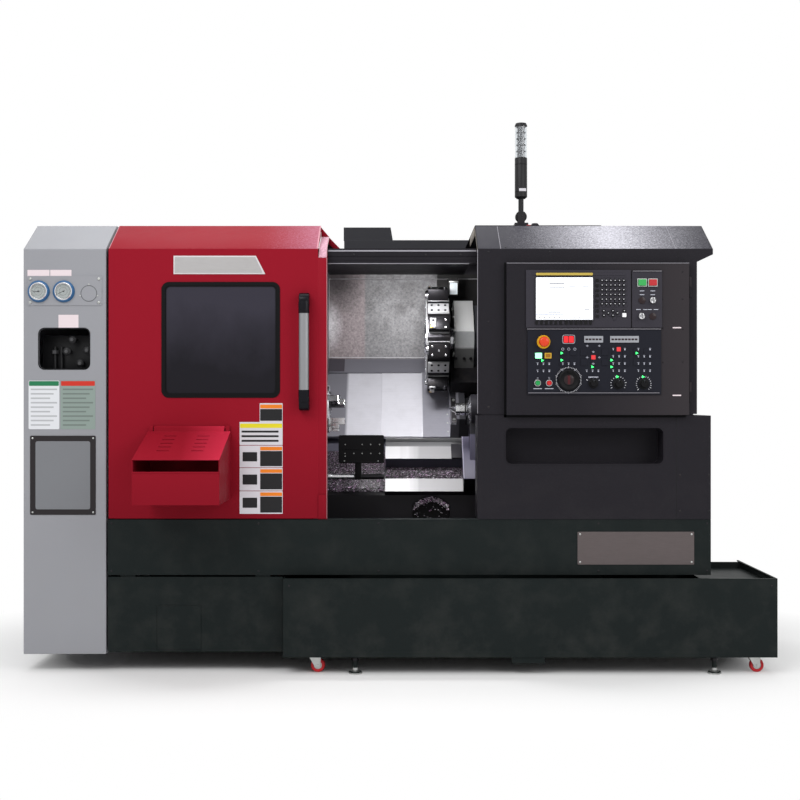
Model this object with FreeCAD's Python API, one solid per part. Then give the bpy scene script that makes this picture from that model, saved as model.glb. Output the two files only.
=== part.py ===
"""Turning centre with a slanted bed: one closed solid or group of solids for each piece, in millimetres.

Frame: +X to the right along the spindle, +Y to the back, +Z up, origin on the floor under the middle of
the machine. Slanted pieces are drawn in two slant coordinates, u up the slope to the back and v square out
of it, both from the spindle axis.
"""
import FreeCAD
import Part
import math
import os

V = FreeCAD.Vector
output_folder = "parts"

# ---- overall sizes ----
end_cover_right = -1170.0
left_cover_width = 330.0   # the end cover runs out to the left from its right edge
tank_right = 1500.0        # the tank stands out furthest to the right
front_y = -543.0           # front plane of the covers
box_reach = 327.0          # parts box ahead of the front plane
spindle_reach = 500.0      # front plane to the spindle axis
bed_reach = 620.0          # spindle axis to the back of the bed
cabinet_gap = 7.0
cabinet_depth = 283.0      # rear cabinet with its door and hinges
sheet = 3.0                # sheet-metal wall of the covers
seam = 6.0                 # gap between neighbouring covers
running_gap = 0.1          # radial clearance of pins and shafts
slide_gap = 0.3            # clearance under a sliding piece
corner_steps = 4           # straight steps in a rounded corner
left_x = end_cover_right - left_cover_width

# ---- heights of the cladding ----
panel_bottom = 80.0
tank_top = 380.0
tray_bottom = 388.0
tray_top = 610.0
eave_z = 1692.0
roof_z = 1811.0
eave_depth = 192.0
roof_sheet_z = 1700.0

# ---- spindle ----
spindle_y = front_y + spindle_reach
spindle_z = 1048.0
chuck_radius = 105.0
chuck_length = 90.0
chuck_face_x = -302.0
catcher_y = spindle_y - 17.0
catcher_z = 752.0
catcher_shaft = 12.0
spindle_bore = 26.0

# ---- slanted bed ----
slope_deg = 45.0
way_v = -260.0             # ground tops of the ways, below the spindle axis
bed_v = -285.0             # rough face of the casting
bed_left = -1100.0
bed_right = 900.0
bed_back_y = spindle_y + bed_reach
cover_back_y = bed_back_y + sheet
back_y = cover_back_y + cabinet_gap + cabinet_depth
bed_bottom = 100.0
way_width = 75.0
tail_way_low = -215.0      # centre of each way, up the slope from the spindle axis
tail_way_high = -20.0
z_way_low = 150.0
z_way_high = 440.0
screw_u = 300.0
screw_v = -300.0
screw_radius = 20.0
screw_left = -285.0
screw_sides = 10

# ---- cladding positions along the machine ----
door_left = -1160.0
door_right = -322.0
door_lip = 36.0
door_depth = 40.0
opening_left = -286.0
cover_left = 316.0
cover_right = 1194.0
hood_right = 1258.0
tray_left = -1164.0
tray_right = 1250.0

# ---- turret ----
turret_u = 441.0
turret_v = 14.0
turret_left = 126.0
turret_right = 233.0
stations = 12
disc_radius = 185.0
tool_radius = 250.0

COS = math.cos(math.radians(slope_deg))
SIN = math.sin(math.radians(slope_deg))


# ---------------------------------------------------------------- shape helpers
def block(x0, x1, y0, y1, z0, z1):
    """Box between two corners."""
    return Part.makeBox(x1 - x0, y1 - y0, z1 - z0, V(x0, y0, z0))


def prism(points, along):
    """Straight-sided solid on a closed outline of points, swept by a vector."""
    wire = Part.makePolygon(list(points) + [points[0]])
    return Part.Face(wire).extrude(along)


def prism_x(outline_yz, x0, x1):
    return prism([V(x0, y, z) for y, z in outline_yz], V(x1 - x0, 0, 0))


def prism_y(outline_xz, y0, y1):
    return prism([V(x, y0, z) for x, z in outline_xz], V(0, y1 - y0, 0))


def prism_z(outline_xy, z0, z1):
    return prism([V(x, y, z0) for x, y in outline_xy], V(0, 0, z1 - z0))


def flats(radius):
    """How many flats a round piece of this radius is made of."""
    for limit, count in ((8, 6), (20, 8), (60, 14)):
        if radius < limit:
            return count
    return 20


def turned(profile, place, count):
    """Solid turned about an axis from a closed outline of (along, radius) points; place maps a point."""
    faces = []
    for (a0, r0), (a1, r1) in zip(profile, profile[1:] + profile[:1]):
        for k in range(count):
            t0, t1 = 2 * math.pi * k / count, 2 * math.pi * (k + 1) / count
            spots = [place(a0, r0, t0), place(a1, r1, t0), place(a1, r1, t1), place(a0, r0, t1)]
            kept = [p for i, p in enumerate(spots) if (p - spots[i - 1]).Length > 1e-6]
            if len(kept) > 2:
                faces.append(Part.Face(Part.makePolygon(kept + [kept[0]])))
    solid = Part.Solid(Part.Shell(faces))
    if solid.Volume < 0:
        solid.reverse()
    return solid.removeSplitter()


def turned_x(profile, y, z, count=0, turn=0.0):
    """Solid turned about a line along X, from (x, radius) points."""
    return turned(profile, lambda a, r, t: V(a, y + r * math.sin(t + turn), z + r * math.cos(t + turn)),
                  count or flats(max(r for a, r in profile)))


def turned_y(profile, x, z, count=0, turn=0.0):
    """Solid turned about a line along Y, from (y, radius) points."""
    return turned(profile, lambda a, r, t: V(x + r * math.sin(t + turn), a, z + r * math.cos(t + turn)),
                  count or flats(max(r for a, r in profile)))


def turned_z(profile, x, y, count=0, turn=0.0):
    """Solid turned about a line along Z, from (z, radius) points."""
    return turned(profile, lambda a, r, t: V(x + r * math.cos(t + turn), y + r * math.sin(t + turn), a),
                  count or flats(max(r for a, r in profile)))


def rod_x(x0, x1, y, z, radius, count=0):
    return turned_x([(x0, 0), (x0, radius), (x1, radius), (x1, 0)], y, z, count)


def rod_y(y0, y1, x, z, radius, count=0):
    return turned_y([(y0, 0), (y0, radius), (y1, radius), (y1, 0)], x, z, count)


def rod_z(z0, z1, x, y, radius, count=0):
    return turned_z([(z0, 0), (z0, radius), (z1, radius), (z1, 0)], x, y, count)


def bore(make, start, end, first, second, shaft, count=0):
    """Cutting tool for a running fit: its flats stand one running gap outside a shaft of this radius."""
    count = count or flats(shaft)
    step = math.pi / count
    radius = (shaft + running_gap) / math.cos(step)
    return make([(start, 0), (start, radius), (end, radius), (end, 0)], first, second, count, step)


def rounded_plate(x0, x1, z0, z1, y0, y1, radius):
    """Plate in the XZ plane with rounded corners, thick along Y."""
    outline = []
    for cx, cz, start in ((x0 + radius, z0 + radius, 180), (x1 - radius, z0 + radius, 270),
                          (x1 - radius, z1 - radius, 0), (x0 + radius, z1 - radius, 90)):
        for step in range(corner_steps + 1):
            angle = math.radians(start + 90 * step / corner_steps)
            outline.append((cx + radius * math.cos(angle), cz + radius * math.sin(angle)))
    return prism_y(outline, y0, y1)


def slant(u, v):
    """(y, z) of a point u up the slope and v out of it, from the spindle axis."""
    return spindle_y + u * COS - v * SIN, spindle_z + u * SIN + v * COS


def slanted(outline_uv, x0, x1):
    """Solid with its outline in slant coordinates, long along X."""
    return prism_x([slant(u, v) for u, v in outline_uv], x0, x1)


def slant_block(x0, x1, u0, u1, v0, v1):
    return slanted([(u0, v0), (u1, v0), (u1, v1), (u0, v1)], x0, x1)


def joined(shapes):
    """One solid from several that touch or overlap."""
    result = shapes[0].fuse(shapes[1:]) if len(shapes) > 1 else shapes[0]
    return result.removeSplitter()


def cut(body, tools):
    return body.cut(tools).removeSplitter() if tools else body


def save(name, *solids):
    """Writes one node, which may hold several separate solids."""
    os.makedirs(output_folder, exist_ok=True)
    shape = solids[0] if len(solids) == 1 else Part.makeCompound(list(solids))
    shape.exportStep(os.path.join(output_folder, name + ".step"))
    return shape


def hex_prism(axis_point, direction, length, across_flats):
    """Hexagonal bar, such as a nut or a screw head."""
    radius = across_flats / math.sqrt(3)
    ring = [V(radius * math.cos(math.radians(60 * i)), radius * math.sin(math.radians(60 * i)), 0)
            for i in range(6)]
    bar = Part.Face(Part.makePolygon(ring + [ring[0]])).extrude(V(0, 0, length))
    bar.Placement = FreeCAD.Placement(V(*axis_point), FreeCAD.Rotation(V(0, 0, 1), V(*direction)))
    return bar


def brow(inset):
    """(y, z) of the front corner and the top corner of the sloping brow, moved in square by an inset."""
    slope = math.atan2(roof_z - eave_z, eave_depth)
    front = (front_y + inset, eave_z + inset * math.tan(slope) - inset / math.cos(slope))
    top_y = front_y + eave_depth + inset * (1 / math.cos(slope) - 1) / math.tan(slope)
    return front, (top_y, roof_z - inset)


# ---------------------------------------------------------------- bed and base
foot_xs = [bed_left + 90, (bed_left + bed_right) / 2, bed_right - 90]
foot_inset = 75.0
foot_ys = [spindle_y + foot_inset, bed_back_y - foot_inset]
foot_pad_radius = 60.0
foot_bolt_radius = 14.0


def slant_bed():
    """One-piece casting: box base, 45 degree face, four ways, screw channel and a coolant arch."""
    low_u = tail_way_low - way_width / 2 - 2
    high_u = z_way_high + way_width / 2 + 12
    nose = slant(low_u, bed_v)
    top = slant(high_u, bed_v)
    shelf = top[0] + 40
    side = [(nose[0], bed_bottom), nose, top, (shelf, top[1]), (bed_back_y, top[1] - 130),
            (bed_back_y, bed_bottom)]
    body = prism_x(side, bed_left, bed_right)
    ways = [slant_block(-60 if c < z_way_low - 1 else opening_left - 10, bed_right,
                        c - way_width / 2, c + way_width / 2, bed_v - 5, way_v)
            for c in (tail_way_low, tail_way_high, z_way_low, z_way_high)]
    body = joined([body] + ways)
    channel = slant_block(screw_left + 45, bed_right + 1, screw_u - 55, screw_u + 55, screw_v - 45, bed_v + 1)
    journal_y, journal_z = slant(screw_u, screw_v)
    journal = bore(turned_x, screw_left, screw_left + 46, journal_y, journal_z, screw_radius - 5, screw_sides)
    trough_u0 = tail_way_low + way_width / 2
    trough_u1 = tail_way_high - way_width / 2
    trough = slanted([(trough_u0, bed_v + 1), (trough_u1, bed_v + 1), (trough_u1, bed_v - 70),
                      (trough_u0 + 40, bed_v - 70)], -60, bed_right + 1)
    arch_x0, arch_x1, arch_top, arch_low = 59.0, 227.0, 665.0, 540.0
    rise = 40.0
    mid = (arch_x0 + arch_x1) / 2
    y0 = nose[0] - 5
    curve = Part.Arc(V(arch_x1, y0, arch_top - rise), V(mid, y0, arch_top), V(arch_x0, y0, arch_top - rise))
    lines = [Part.LineSegment(V(arch_x0, y0, arch_top - rise), V(arch_x0, y0, arch_low)),
             Part.LineSegment(V(arch_x0, y0, arch_low), V(arch_x1, y0, arch_low)),
             Part.LineSegment(V(arch_x1, y0, arch_low), V(arch_x1, y0, arch_top - rise))]
    arch = Part.Face(Part.Wire([g.toShape() for g in [curve] + lines])).extrude(V(0, 45, 0))
    pocket_depth = 60.0
    bays = 4
    pitch = (bed_right - bed_left) / bays
    pockets = []
    for i in range(bays):
        x0 = bed_left + i * pitch + 60
        x1 = bed_left + (i + 1) * pitch - 60
        pockets.append(block(x0, x1, bed_back_y - pocket_depth, bed_back_y + 1, bed_bottom + 110, 760))
    save("slant_bed", cut(body, [channel, journal, trough, arch] + pockets))


def levelling_feet():
    """Pad, lock nut and jack screw at each corner and the middle of the bed."""
    made = []
    for x in foot_xs:
        for y in foot_ys:
            pad = turned_z([(0, 0), (0, foot_pad_radius), (12, foot_pad_radius), (26, 30), (26, 0)], x, y, 10)
            screw = rod_z(26, bed_bottom - 24, x, y, foot_bolt_radius, 8)
            nut = hex_prism((x, y, bed_bottom - 24), (0, 0, 1), 24, 46)
            made.append(joined([pad, screw, nut]))
    save("levelling_feet", *made)


pan_slope_y = front_y + 60.0        # back edge of the tray's top lip
pan_floor_z = 486.0


def front_tray():
    """Folded chip tray: front band, top lip, sloping floor and a chute over the tank."""
    nose_y = slant(tail_way_low - way_width / 2 - 2, bed_v)[0]
    back = nose_y
    t = sheet + 1
    floor_y = pan_slope_y + 190
    side = [(front_y, tray_bottom), (front_y, tray_top), (pan_slope_y, tray_top),
            (floor_y, pan_floor_z + t), (back, pan_floor_z + t), (back, pan_floor_z),
            (floor_y - 3, pan_floor_z), (pan_slope_y - 3, tray_top - t), (front_y + t, tray_top - t),
            (front_y + t, tray_bottom + t), (back, tray_bottom + t), (back, tray_bottom)]
    body = prism_x(side, tray_left, tray_right)
    inner = [(front_y + 1, tray_bottom + 1), (front_y + 1, tray_top - 1), (pan_slope_y, tray_top - 1),
             (floor_y, pan_floor_z + 1), (back, pan_floor_z + 1), (back, tray_bottom + 1)]
    ends = [prism_x(inner, tray_left, tray_left + t), prism_x(inner, tray_right - t, tray_right)]
    chute = block(-200, bed_right - 60, floor_y + 15, back - 15, tray_bottom - 1, pan_floor_z + 10)
    save("front_tray", cut(joined([body] + ends), [chute]))


def kick_panel():
    """Lower left front panel with folded edges, its strut to the tray and the small access plate on it."""
    x0, x1 = tray_left, -463.0
    z0, z1 = panel_bottom, tank_top
    outer = block(x0, x1, front_y + 4, front_y + 44, z0, z1)
    inner = block(x0 + sheet, x1 - sheet, front_y + 4 + sheet, front_y + 60, z0 + sheet, z1 - sheet)
    hangers = [block(x - 30, x + 30, front_y + 4 + sheet, front_y + 44, z1 - sheet, tray_bottom)
               for x in (x0 + 80, x1 - 80)]
    access = block(-967, -790, front_y + 2, front_y + 4, z0 + 8, 266)
    save("kick_panel", joined([cut(outer, [inner])] + hangers), access)


# ---------------------------------------------------------------- left end cover and gauges
gauge_x = [left_x + 62, left_x + 162]
gauge_z = 1522.0
gauge_radius = 38.0
plate_x0, plate_x1 = left_x + 16, end_cover_right - 16
plate_z0, plate_z1 = 1466.0, 1584.0
hatch = (left_x + 64, left_x + 262, 1214.0, 1372.0)   # x0, x1, z0, z1 of the window over the valves
hatch_radius = 20.0


def cover_shell(x0, x1, z0, back, closed_left):
    """Sheet cover with an upright front, a sloping brow, a flat top, a right side and a back, open below."""
    outer = [(front_y, z0)] + list(brow(0)) + [(back, roof_z), (back, z0)]
    inner = [(front_y + sheet, z0 - 1)] + list(brow(sheet)) + [(back - sheet, roof_z - sheet),
                                                               (back - sheet, z0 - 1)]
    hollow_x0 = x0 + sheet if closed_left else x0 - 1
    return cut(prism_x(outer, x0, x1), [prism_x(inner, hollow_x0, x1 - sheet)])


def left_end_cover():
    """Tall end cover over the drive, with a window for the valves and holes behind the gauges."""
    z0 = panel_bottom - 8
    shell = cover_shell(left_x, end_cover_right, z0, cover_back_y, True)
    x0, x1, hz0, hz1 = hatch
    window = rounded_plate(x0, x1, hz0, hz1, front_y - 1, front_y + sheet + 1, hatch_radius)
    gauge_holes = [rod_y(front_y - 1, front_y + sheet + 1, x, gauge_z, gauge_radius - 6) for x in gauge_x]
    vents = [block(left_x - 1, left_x + sheet + 1, spindle_y + i * 60, spindle_y + i * 60 + 24, 900, 1200)
             for i in range(5)]
    drive_hole = rod_x(end_cover_right - sheet - 1, end_cover_right + 1, spindle_y, spindle_z, 160)
    lugs = [block(end_cover_right, bed_left, y, y + 60, 160, 300) for y in (spindle_y + 120, spindle_y + 480)]
    save("left_end_cover", joined([cut(shell, [window, drive_hole] + gauge_holes + vents)] + lugs))


def gauge_panel():
    """Plate with two pressure gauges and a blank, and the valve manifold seen through the window."""
    plate_y = front_y - 2.5
    plate = block(plate_x0, plate_x1, plate_y, front_y, plate_z0, plate_z1)
    holes = [rod_y(plate_y - 1, front_y + 1, x, gauge_z, gauge_radius - 6) for x in gauge_x]
    blank_x = left_x + 262
    blank = rod_y(plate_y - 2, plate_y, blank_x, gauge_z - 8, 33)
    solids = [joined([cut(plate, holes), blank])]
    for x, swing in zip(gauge_x, (180, 205)):
        case = turned_y([(front_y + 30, 0), (front_y + 30, gauge_radius - 7), (plate_y, gauge_radius - 7),
                         (plate_y, gauge_radius + 6), (plate_y - 3, gauge_radius + 6),
                         (plate_y - 14, gauge_radius - 4), (plate_y - 7, gauge_radius - 9), (plate_y - 7, 0)],
                        x, gauge_z, 12)
        solids.append(case)
        angle = math.radians(swing)
        needle = prism_y([(x - 3 * math.sin(angle), gauge_z + 3 * math.cos(angle)),
                          (x + 22 * math.cos(angle), gauge_z + 22 * math.sin(angle)),
                          (x + 3 * math.sin(angle), gauge_z - 3 * math.cos(angle)),
                          (x - 9 * math.cos(angle), gauge_z - 9 * math.sin(angle))],
                         plate_y - 9, plate_y - 7)
        solids.append(needle)
    x0, x1, z0, z1 = hatch
    manifold_y = front_y + 95
    manifold = block(x0 - 14, x1 + 30, manifold_y, manifold_y + 60, z0 - 20, z1 - 20)
    feet = [block(x, x + 20, front_y + sheet, manifold_y, z0 - 20, z0 - 4) for x in (x0 - 14, x1 + 10)]
    stems = [rod_y(manifold_y - 45, manifold_y, x0 + dx, z0 + dz, 9, 6)
             for dx, dz in ((120, 118), (98, 70), (180, 75))]
    wheels = [rod_y(manifold_y - 62, manifold_y - 45, x0 + dx, z0 + dz, 17, 8)
              for dx, dz in ((120, 118), (98, 70), (180, 75))]
    solids.append(joined([manifold] + feet + stems + wheels))
    save("gauge_panel", *solids)


# ---------------------------------------------------------------- headstock
headstock_left = -980.0
headstock_right = -430.0
shaft_radius = 55.0
spindle_sides = 16
motor_left = -1100.0


def headstock():
    """Spindle housing with eight sides on a foot, bored for the spindle, with a bearing cap in front."""
    foot = slant_block(headstock_left, headstock_right, -242, 262, bed_v, bed_v + 40)
    side = [(-200, bed_v + 39), (-200, 80), (-80, 200), (80, 200), (200, 80), (200, bed_v + 39)]
    body = slanted(side, headstock_left, headstock_right)
    cap = rod_x(headstock_right, headstock_right + 22, spindle_y, spindle_z, 135)
    hole = bore(turned_x, headstock_left - 1, headstock_right + 23, spindle_y, spindle_z, shaft_radius,
                spindle_sides)
    save("headstock", cut(joined([foot, body, cap]), [hole]))


def spindle_motor():
    """Motor housing behind the headstock: flange, round case and a terminal box."""
    case = turned_x([(motor_left, shaft_radius + 2), (motor_left, 140), (motor_left + 14, 155),
                     (headstock_left - 20, 155), (headstock_left - 20, 178), (headstock_left, 178),
                     (headstock_left, shaft_radius + 2)], spindle_y, spindle_z, spindle_sides)
    box = block(motor_left + 20, headstock_left - 30, spindle_y - 60, spindle_y + 60,
                spindle_z + 120, spindle_z + 210)
    hole = rod_x(motor_left - 1, headstock_left + 1, spindle_y, spindle_z, shaft_radius + 2, spindle_sides)
    save("spindle_motor", cut(joined([case, box]), [hole]))


guard_y = front_y + 48.0
rail_z0 = roof_sheet_z - 59
rail_back_y = front_y + 100.0
guard_right = -340.0
cover_u0 = 60.0
cover_u1 = 482.0
fixed_cover_v = -245.0
chuck_hole_radius = chuck_radius + 15


def headstock_guard():
    """Folded sheet in front of the headstock, its side wall with the chuck hole, and the fixed way cover."""
    front = block(door_left, guard_right, guard_y, guard_y + sheet, tray_top, rail_z0)
    nose = slant(tail_way_low - way_width / 2 - 2, bed_v)
    low = slant(tail_way_low - way_width / 2 - 2, bed_v + 1)
    top = slant(cover_u1 + 12, bed_v + 1)
    side = [(guard_y, tray_top), (front_y + 60, tray_top), (front_y + 64, tray_top + 2),
            (nose[0] - 6, tray_top + 2), (nose[0] - 6, low[1]), (low[0], low[1] + 2), top,
            (splash_y, top[1]), (splash_y, roof_sheet_z), (rail_back_y, roof_sheet_z),
            (rail_back_y, rail_z0), (guard_y, rail_z0)]
    wall = prism_x(side, guard_right - sheet, guard_right)
    hole = rod_x(guard_right - sheet - 1, guard_right + 1, spindle_y, spindle_z, chuck_hole_radius)
    plate = slant_block(guard_right - 1, -60, cover_u0 + 6, cover_u1, fixed_cover_v - sheet, fixed_cover_v)
    skirt = slant_block(guard_right - 1, -60, cover_u0 + 6, cover_u0 + 8, way_v + 2, fixed_cover_v)
    shaft_hole = bore(turned_x, guard_right - 31, guard_right + 1, catcher_y, catcher_z, catcher_shaft)
    bushing = rod_x(guard_right - 30, guard_right, catcher_y, catcher_z, 22)
    save("headstock_guard", cut(joined([front, cut(wall, [hole]), plate, skirt, bushing]), [shaft_hole]))


splash_y = spindle_y + 600.0
splash_right = 1000.0
lamp_x0, lamp_x1 = 236.0, 278.0
lamp_z0, lamp_z1 = roof_sheet_z - 122, roof_sheet_z - 41


def splash_back():
    """Stainless back plate of the work space with its slanted foot and the work lamp on it."""
    fold_z = 1288.0
    foot_low = slant(cover_u1 + 7, fixed_cover_v + 6)
    side = [(splash_y, fold_z), foot_low, (foot_low[0] + 3, foot_low[1] - 2.5),
            (splash_y + sheet, fold_z - 2), (splash_y + sheet, fold_z)]
    foot = prism_x(side, guard_right, splash_right)
    plate = block(guard_right, splash_right, splash_y, splash_y + sheet, fold_z, roof_sheet_z)
    lamp_y = front_y + 850
    arm = block(lamp_x0 + 12, lamp_x1 - 12, lamp_y + 70, splash_y, lamp_z0 + 42, lamp_z1 - 9)
    lamp = block(lamp_x0, lamp_x1, lamp_y, lamp_y + 70, lamp_z0, lamp_z1)
    brackets = [block(x, x + 60, splash_y + sheet, bed_back_y, roof_sheet_z - 200, roof_sheet_z - 140)
                for x in (-200, 500, 880)]
    save("splash_back", plate, foot, arm, lamp, *brackets)


def roof_cover():
    """Flat roof over the headstock and the door opening, folded down behind to the bed."""
    top = block(end_cover_right, cover_left, rail_back_y, cover_back_y, roof_sheet_z, roof_sheet_z + sheet)
    back = block(end_cover_right, cover_left, bed_back_y, cover_back_y, 1000, roof_sheet_z + 1)
    lip = block(end_cover_right, guard_right - sheet, rail_back_y, rail_back_y + sheet,
                rail_z0 + 20, roof_sheet_z + 1)
    save("roof_cover", joined([top, back, lip]))


def door_rail():
    """Channel the door hangs from, open downwards, with the track bar in it."""
    x0, x1 = end_cover_right, cover_left
    outer = block(x0, x1, guard_y, rail_back_y, rail_z0, roof_sheet_z)
    inner = block(x0 - 1, x1 + 1, guard_y + sheet, rail_back_y - sheet, rail_z0 - 1, roof_sheet_z - sheet)
    web = block(guard_right - 30, x1, guard_y + sheet, rail_back_y - sheet, rail_z0, rail_z0 + sheet)
    posts = [block(x, x + sheet, guard_y + 1, rail_back_y - 1, rail_z0, roof_sheet_z - 1)
             for x in (x0, guard_right - sheet, x1 - sheet)]
    track = block(door_left, x1, guard_y - 2, guard_y, rail_z0 + 12, rail_z0 + 24)
    save("door_rail", joined([cut(outer, [inner]), web, track] + posts))


# ---------------------------------------------------------------- covers on the right
pocket = (428.0, 1060.0, 832.0, 977.0)       # x0, x1, z0, z1 of the recess in the lower cover
pocket_radius = 24.0
pocket_depth = 110.0
lower_top = 1026.0


hinge_x = 1164.0
hinge_y = front_y - 8.0
panel_hinge_z = (1120.0, 1540.0)
barrel_radius = 6.0
hinge_pin_radius = 3.0
barrel_length = 40.0


def hinge_lug(x, y, z, x0, x1, y0, y1):
    """Lower half of a lift-off hinge: a web, a barrel up to z and the pin that stands on it."""
    web = block(x0, x1, y0, y1, z - barrel_length, z)
    barrel = rod_z(z - barrel_length, z, x, y, barrel_radius)
    pin = rod_z(z - 1, z + barrel_length - 4, x, y, hinge_pin_radius)
    return joined([web, barrel, pin])


def hinge_barrel(x, y, z, x0, x1):
    """Upper half of a lift-off hinge, bored for the pin and standing just clear of the lower half."""
    web = block(x0, x1, y - 3, y + 3, z + slide_gap, z + barrel_length)
    barrel = rod_z(z + slide_gap, z + barrel_length, x, y, barrel_radius)
    hole = bore(turned_z, z, z + barrel_length - 3, x, y, hinge_pin_radius)
    return cut(joined([web, barrel]), [hole])


def right_cover():
    """Upper right cover with its brow and roof, a hood out to the right, and the panel's hinge lugs."""
    shell = cover_shell(cover_left, cover_right, lower_top + seam, cover_back_y, False)
    hood_side = [(front_y, rail_z0)] + list(brow(0)) + [(front_y + 300, roof_z), (front_y + 300, rail_z0)]
    hood = prism_x(hood_side, cover_right, hood_right)
    slope_cut = prism_y([(cover_right - 1, rail_z0 - 1), (hood_right + 1, rail_z0 - 1),
                         (hood_right + 1, rail_z0 + 30)], front_y - 1, front_y + 301)
    lugs = [hinge_lug(hinge_x, hinge_y, z, hinge_x - 4, hinge_x + 4, hinge_y, front_y + 1)
            for z in panel_hinge_z]
    save("right_cover", joined([shell, cut(hood, [slope_cut])] + lugs))


def right_lower_cover():
    """Lower right cover with the long recess, its inner tongue and the right-hand side."""
    x0, x1 = cover_left, tray_right
    z0, z1 = tray_top, lower_top
    front = block(x0, x1, front_y, front_y + sheet, z0, z1)
    right = block(x1 - sheet, x1, front_y, cover_back_y, z0, z1)
    left = block(x0, x0 + sheet, front_y, front_y + 150, z0, z1)
    shelf = block(cover_right - sheet, x1, front_y, cover_back_y, z1 - sheet, z1)
    back = block(bed_right + 20, x1, bed_back_y, cover_back_y, z0, z1)
    tongue = block(x0 + 14, cover_right - 14, front_y + sheet, front_y + 2 * sheet, z1 - 36, z1 + 36)
    px0, px1, pz0, pz1 = pocket
    well = rounded_plate(px0 - sheet, px1 + sheet, pz0 - sheet, pz1 + sheet, front_y + 1,
                         front_y + pocket_depth + sheet, pocket_radius + sheet)
    hollow = rounded_plate(px0, px1, pz0, pz1, front_y - 1, front_y + pocket_depth, pocket_radius)
    tie = block(bed_right, x1 - 1, bed_back_y - 60, bed_back_y - 20, 620, 700)
    save("right_lower_cover", cut(joined([front, right, left, shelf, back, tongue, well, tie]), [hollow]))


cabinet_left = -268.0
cabinet_right = 1200.0
cabinet_front_y = cover_back_y + cabinet_gap
cabinet_bottom = 120.0
cabinet_top = 1872.0
door_seam_x = 500.0
cooler_right = -40.0
cooler_slant = 11.0
cooler_height = 65.0
cabinet_hinge_x = cabinet_right + 6
cabinet_hinge_y = back_y - 10
cabinet_hinge_z = (420.0, 1530.0)


def electrical_cabinet():
    """Rear cabinet with an equipment plate inside and a cooling unit on its roof."""
    back = back_y - 22
    outer = block(cabinet_left, cabinet_right, cabinet_front_y, back, cabinet_bottom, cabinet_top)
    hollow = block(door_seam_x + 20, cabinet_right - 20, cabinet_front_y + 20, back + 1,
                   cabinet_bottom + 40, cabinet_top - 40)
    left_hollow = block(cabinet_left + sheet, door_seam_x - sheet, cabinet_front_y + sheet, back - sheet,
                        cabinet_bottom + sheet, cabinet_top - sheet)
    plinth = [block(x, x + 90, cabinet_front_y + 30, back - 30, 0, cabinet_bottom)
              for x in (cabinet_left + 40, cabinet_right - 130)]
    brackets = [block(x, x + 60, bed_back_y, cabinet_front_y, 220, 900) for x in (-130, 370)]
    drives = [block(door_seam_x + 60 + i * 140, door_seam_x + 170 + i * 140, cabinet_front_y + 19,
                    cabinet_front_y + 150, 900, 1300) for i in range(4)]
    rails = [block(door_seam_x + 60, cabinet_right - 60, cabinet_front_y + 19, cabinet_front_y + 60,
                   z, z + 60) for z in (500, 700, 1480)]
    cooler_left, cooler_top = cabinet_left - 3, cabinet_top + cooler_height
    cooler = prism_y([(cooler_left, cabinet_top), (cooler_right + cooler_slant, cabinet_top),
                      (cooler_right, cooler_top), (cooler_left, cooler_top)],
                     cabinet_front_y + 20, back - 20)
    body = cut(outer, [hollow, left_hollow])
    lugs = [hinge_lug(cabinet_hinge_x, cabinet_hinge_y, z, cabinet_right - 1, cabinet_hinge_x + 3,
                      cabinet_hinge_y - 40, cabinet_hinge_y) for z in cabinet_hinge_z]
    save("electrical_cabinet", joined([body, cooler] + plinth + brackets + drives + rails + lugs))


def cabinet_door():
    """Hinged rear door with a folded edge, hinge knuckles and a lever handle."""
    y0, y1 = back_y - 21, back_y - 2
    x0, x1 = door_seam_x + 3, cabinet_right - 3
    outer = block(x0, x1, y0, y1, cabinet_bottom + 6, cabinet_top - 6)
    inner = block(x0 + sheet, x1 - sheet, y0 - 1, y1 - sheet, cabinet_bottom + 6 + sheet,
                  cabinet_top - 6 - sheet)
    lever = block(x0 + 40, x0 + 70, y1, back_y, 940, 1080)
    knuckles = [hinge_barrel(cabinet_hinge_x, cabinet_hinge_y, z, x1 - 1, cabinet_hinge_x)
                for z in cabinet_hinge_z]
    save("cabinet_door", joined([cut(outer, [inner]), lever] + knuckles))


# ---------------------------------------------------------------- sliding door and parts box
door_bottom = 614.0
window = (-948.0, -474.0, 1097.0, 1560.0)
window_radius = 30.0
handle_x = -375.0
handle_reach = 60.0


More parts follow.
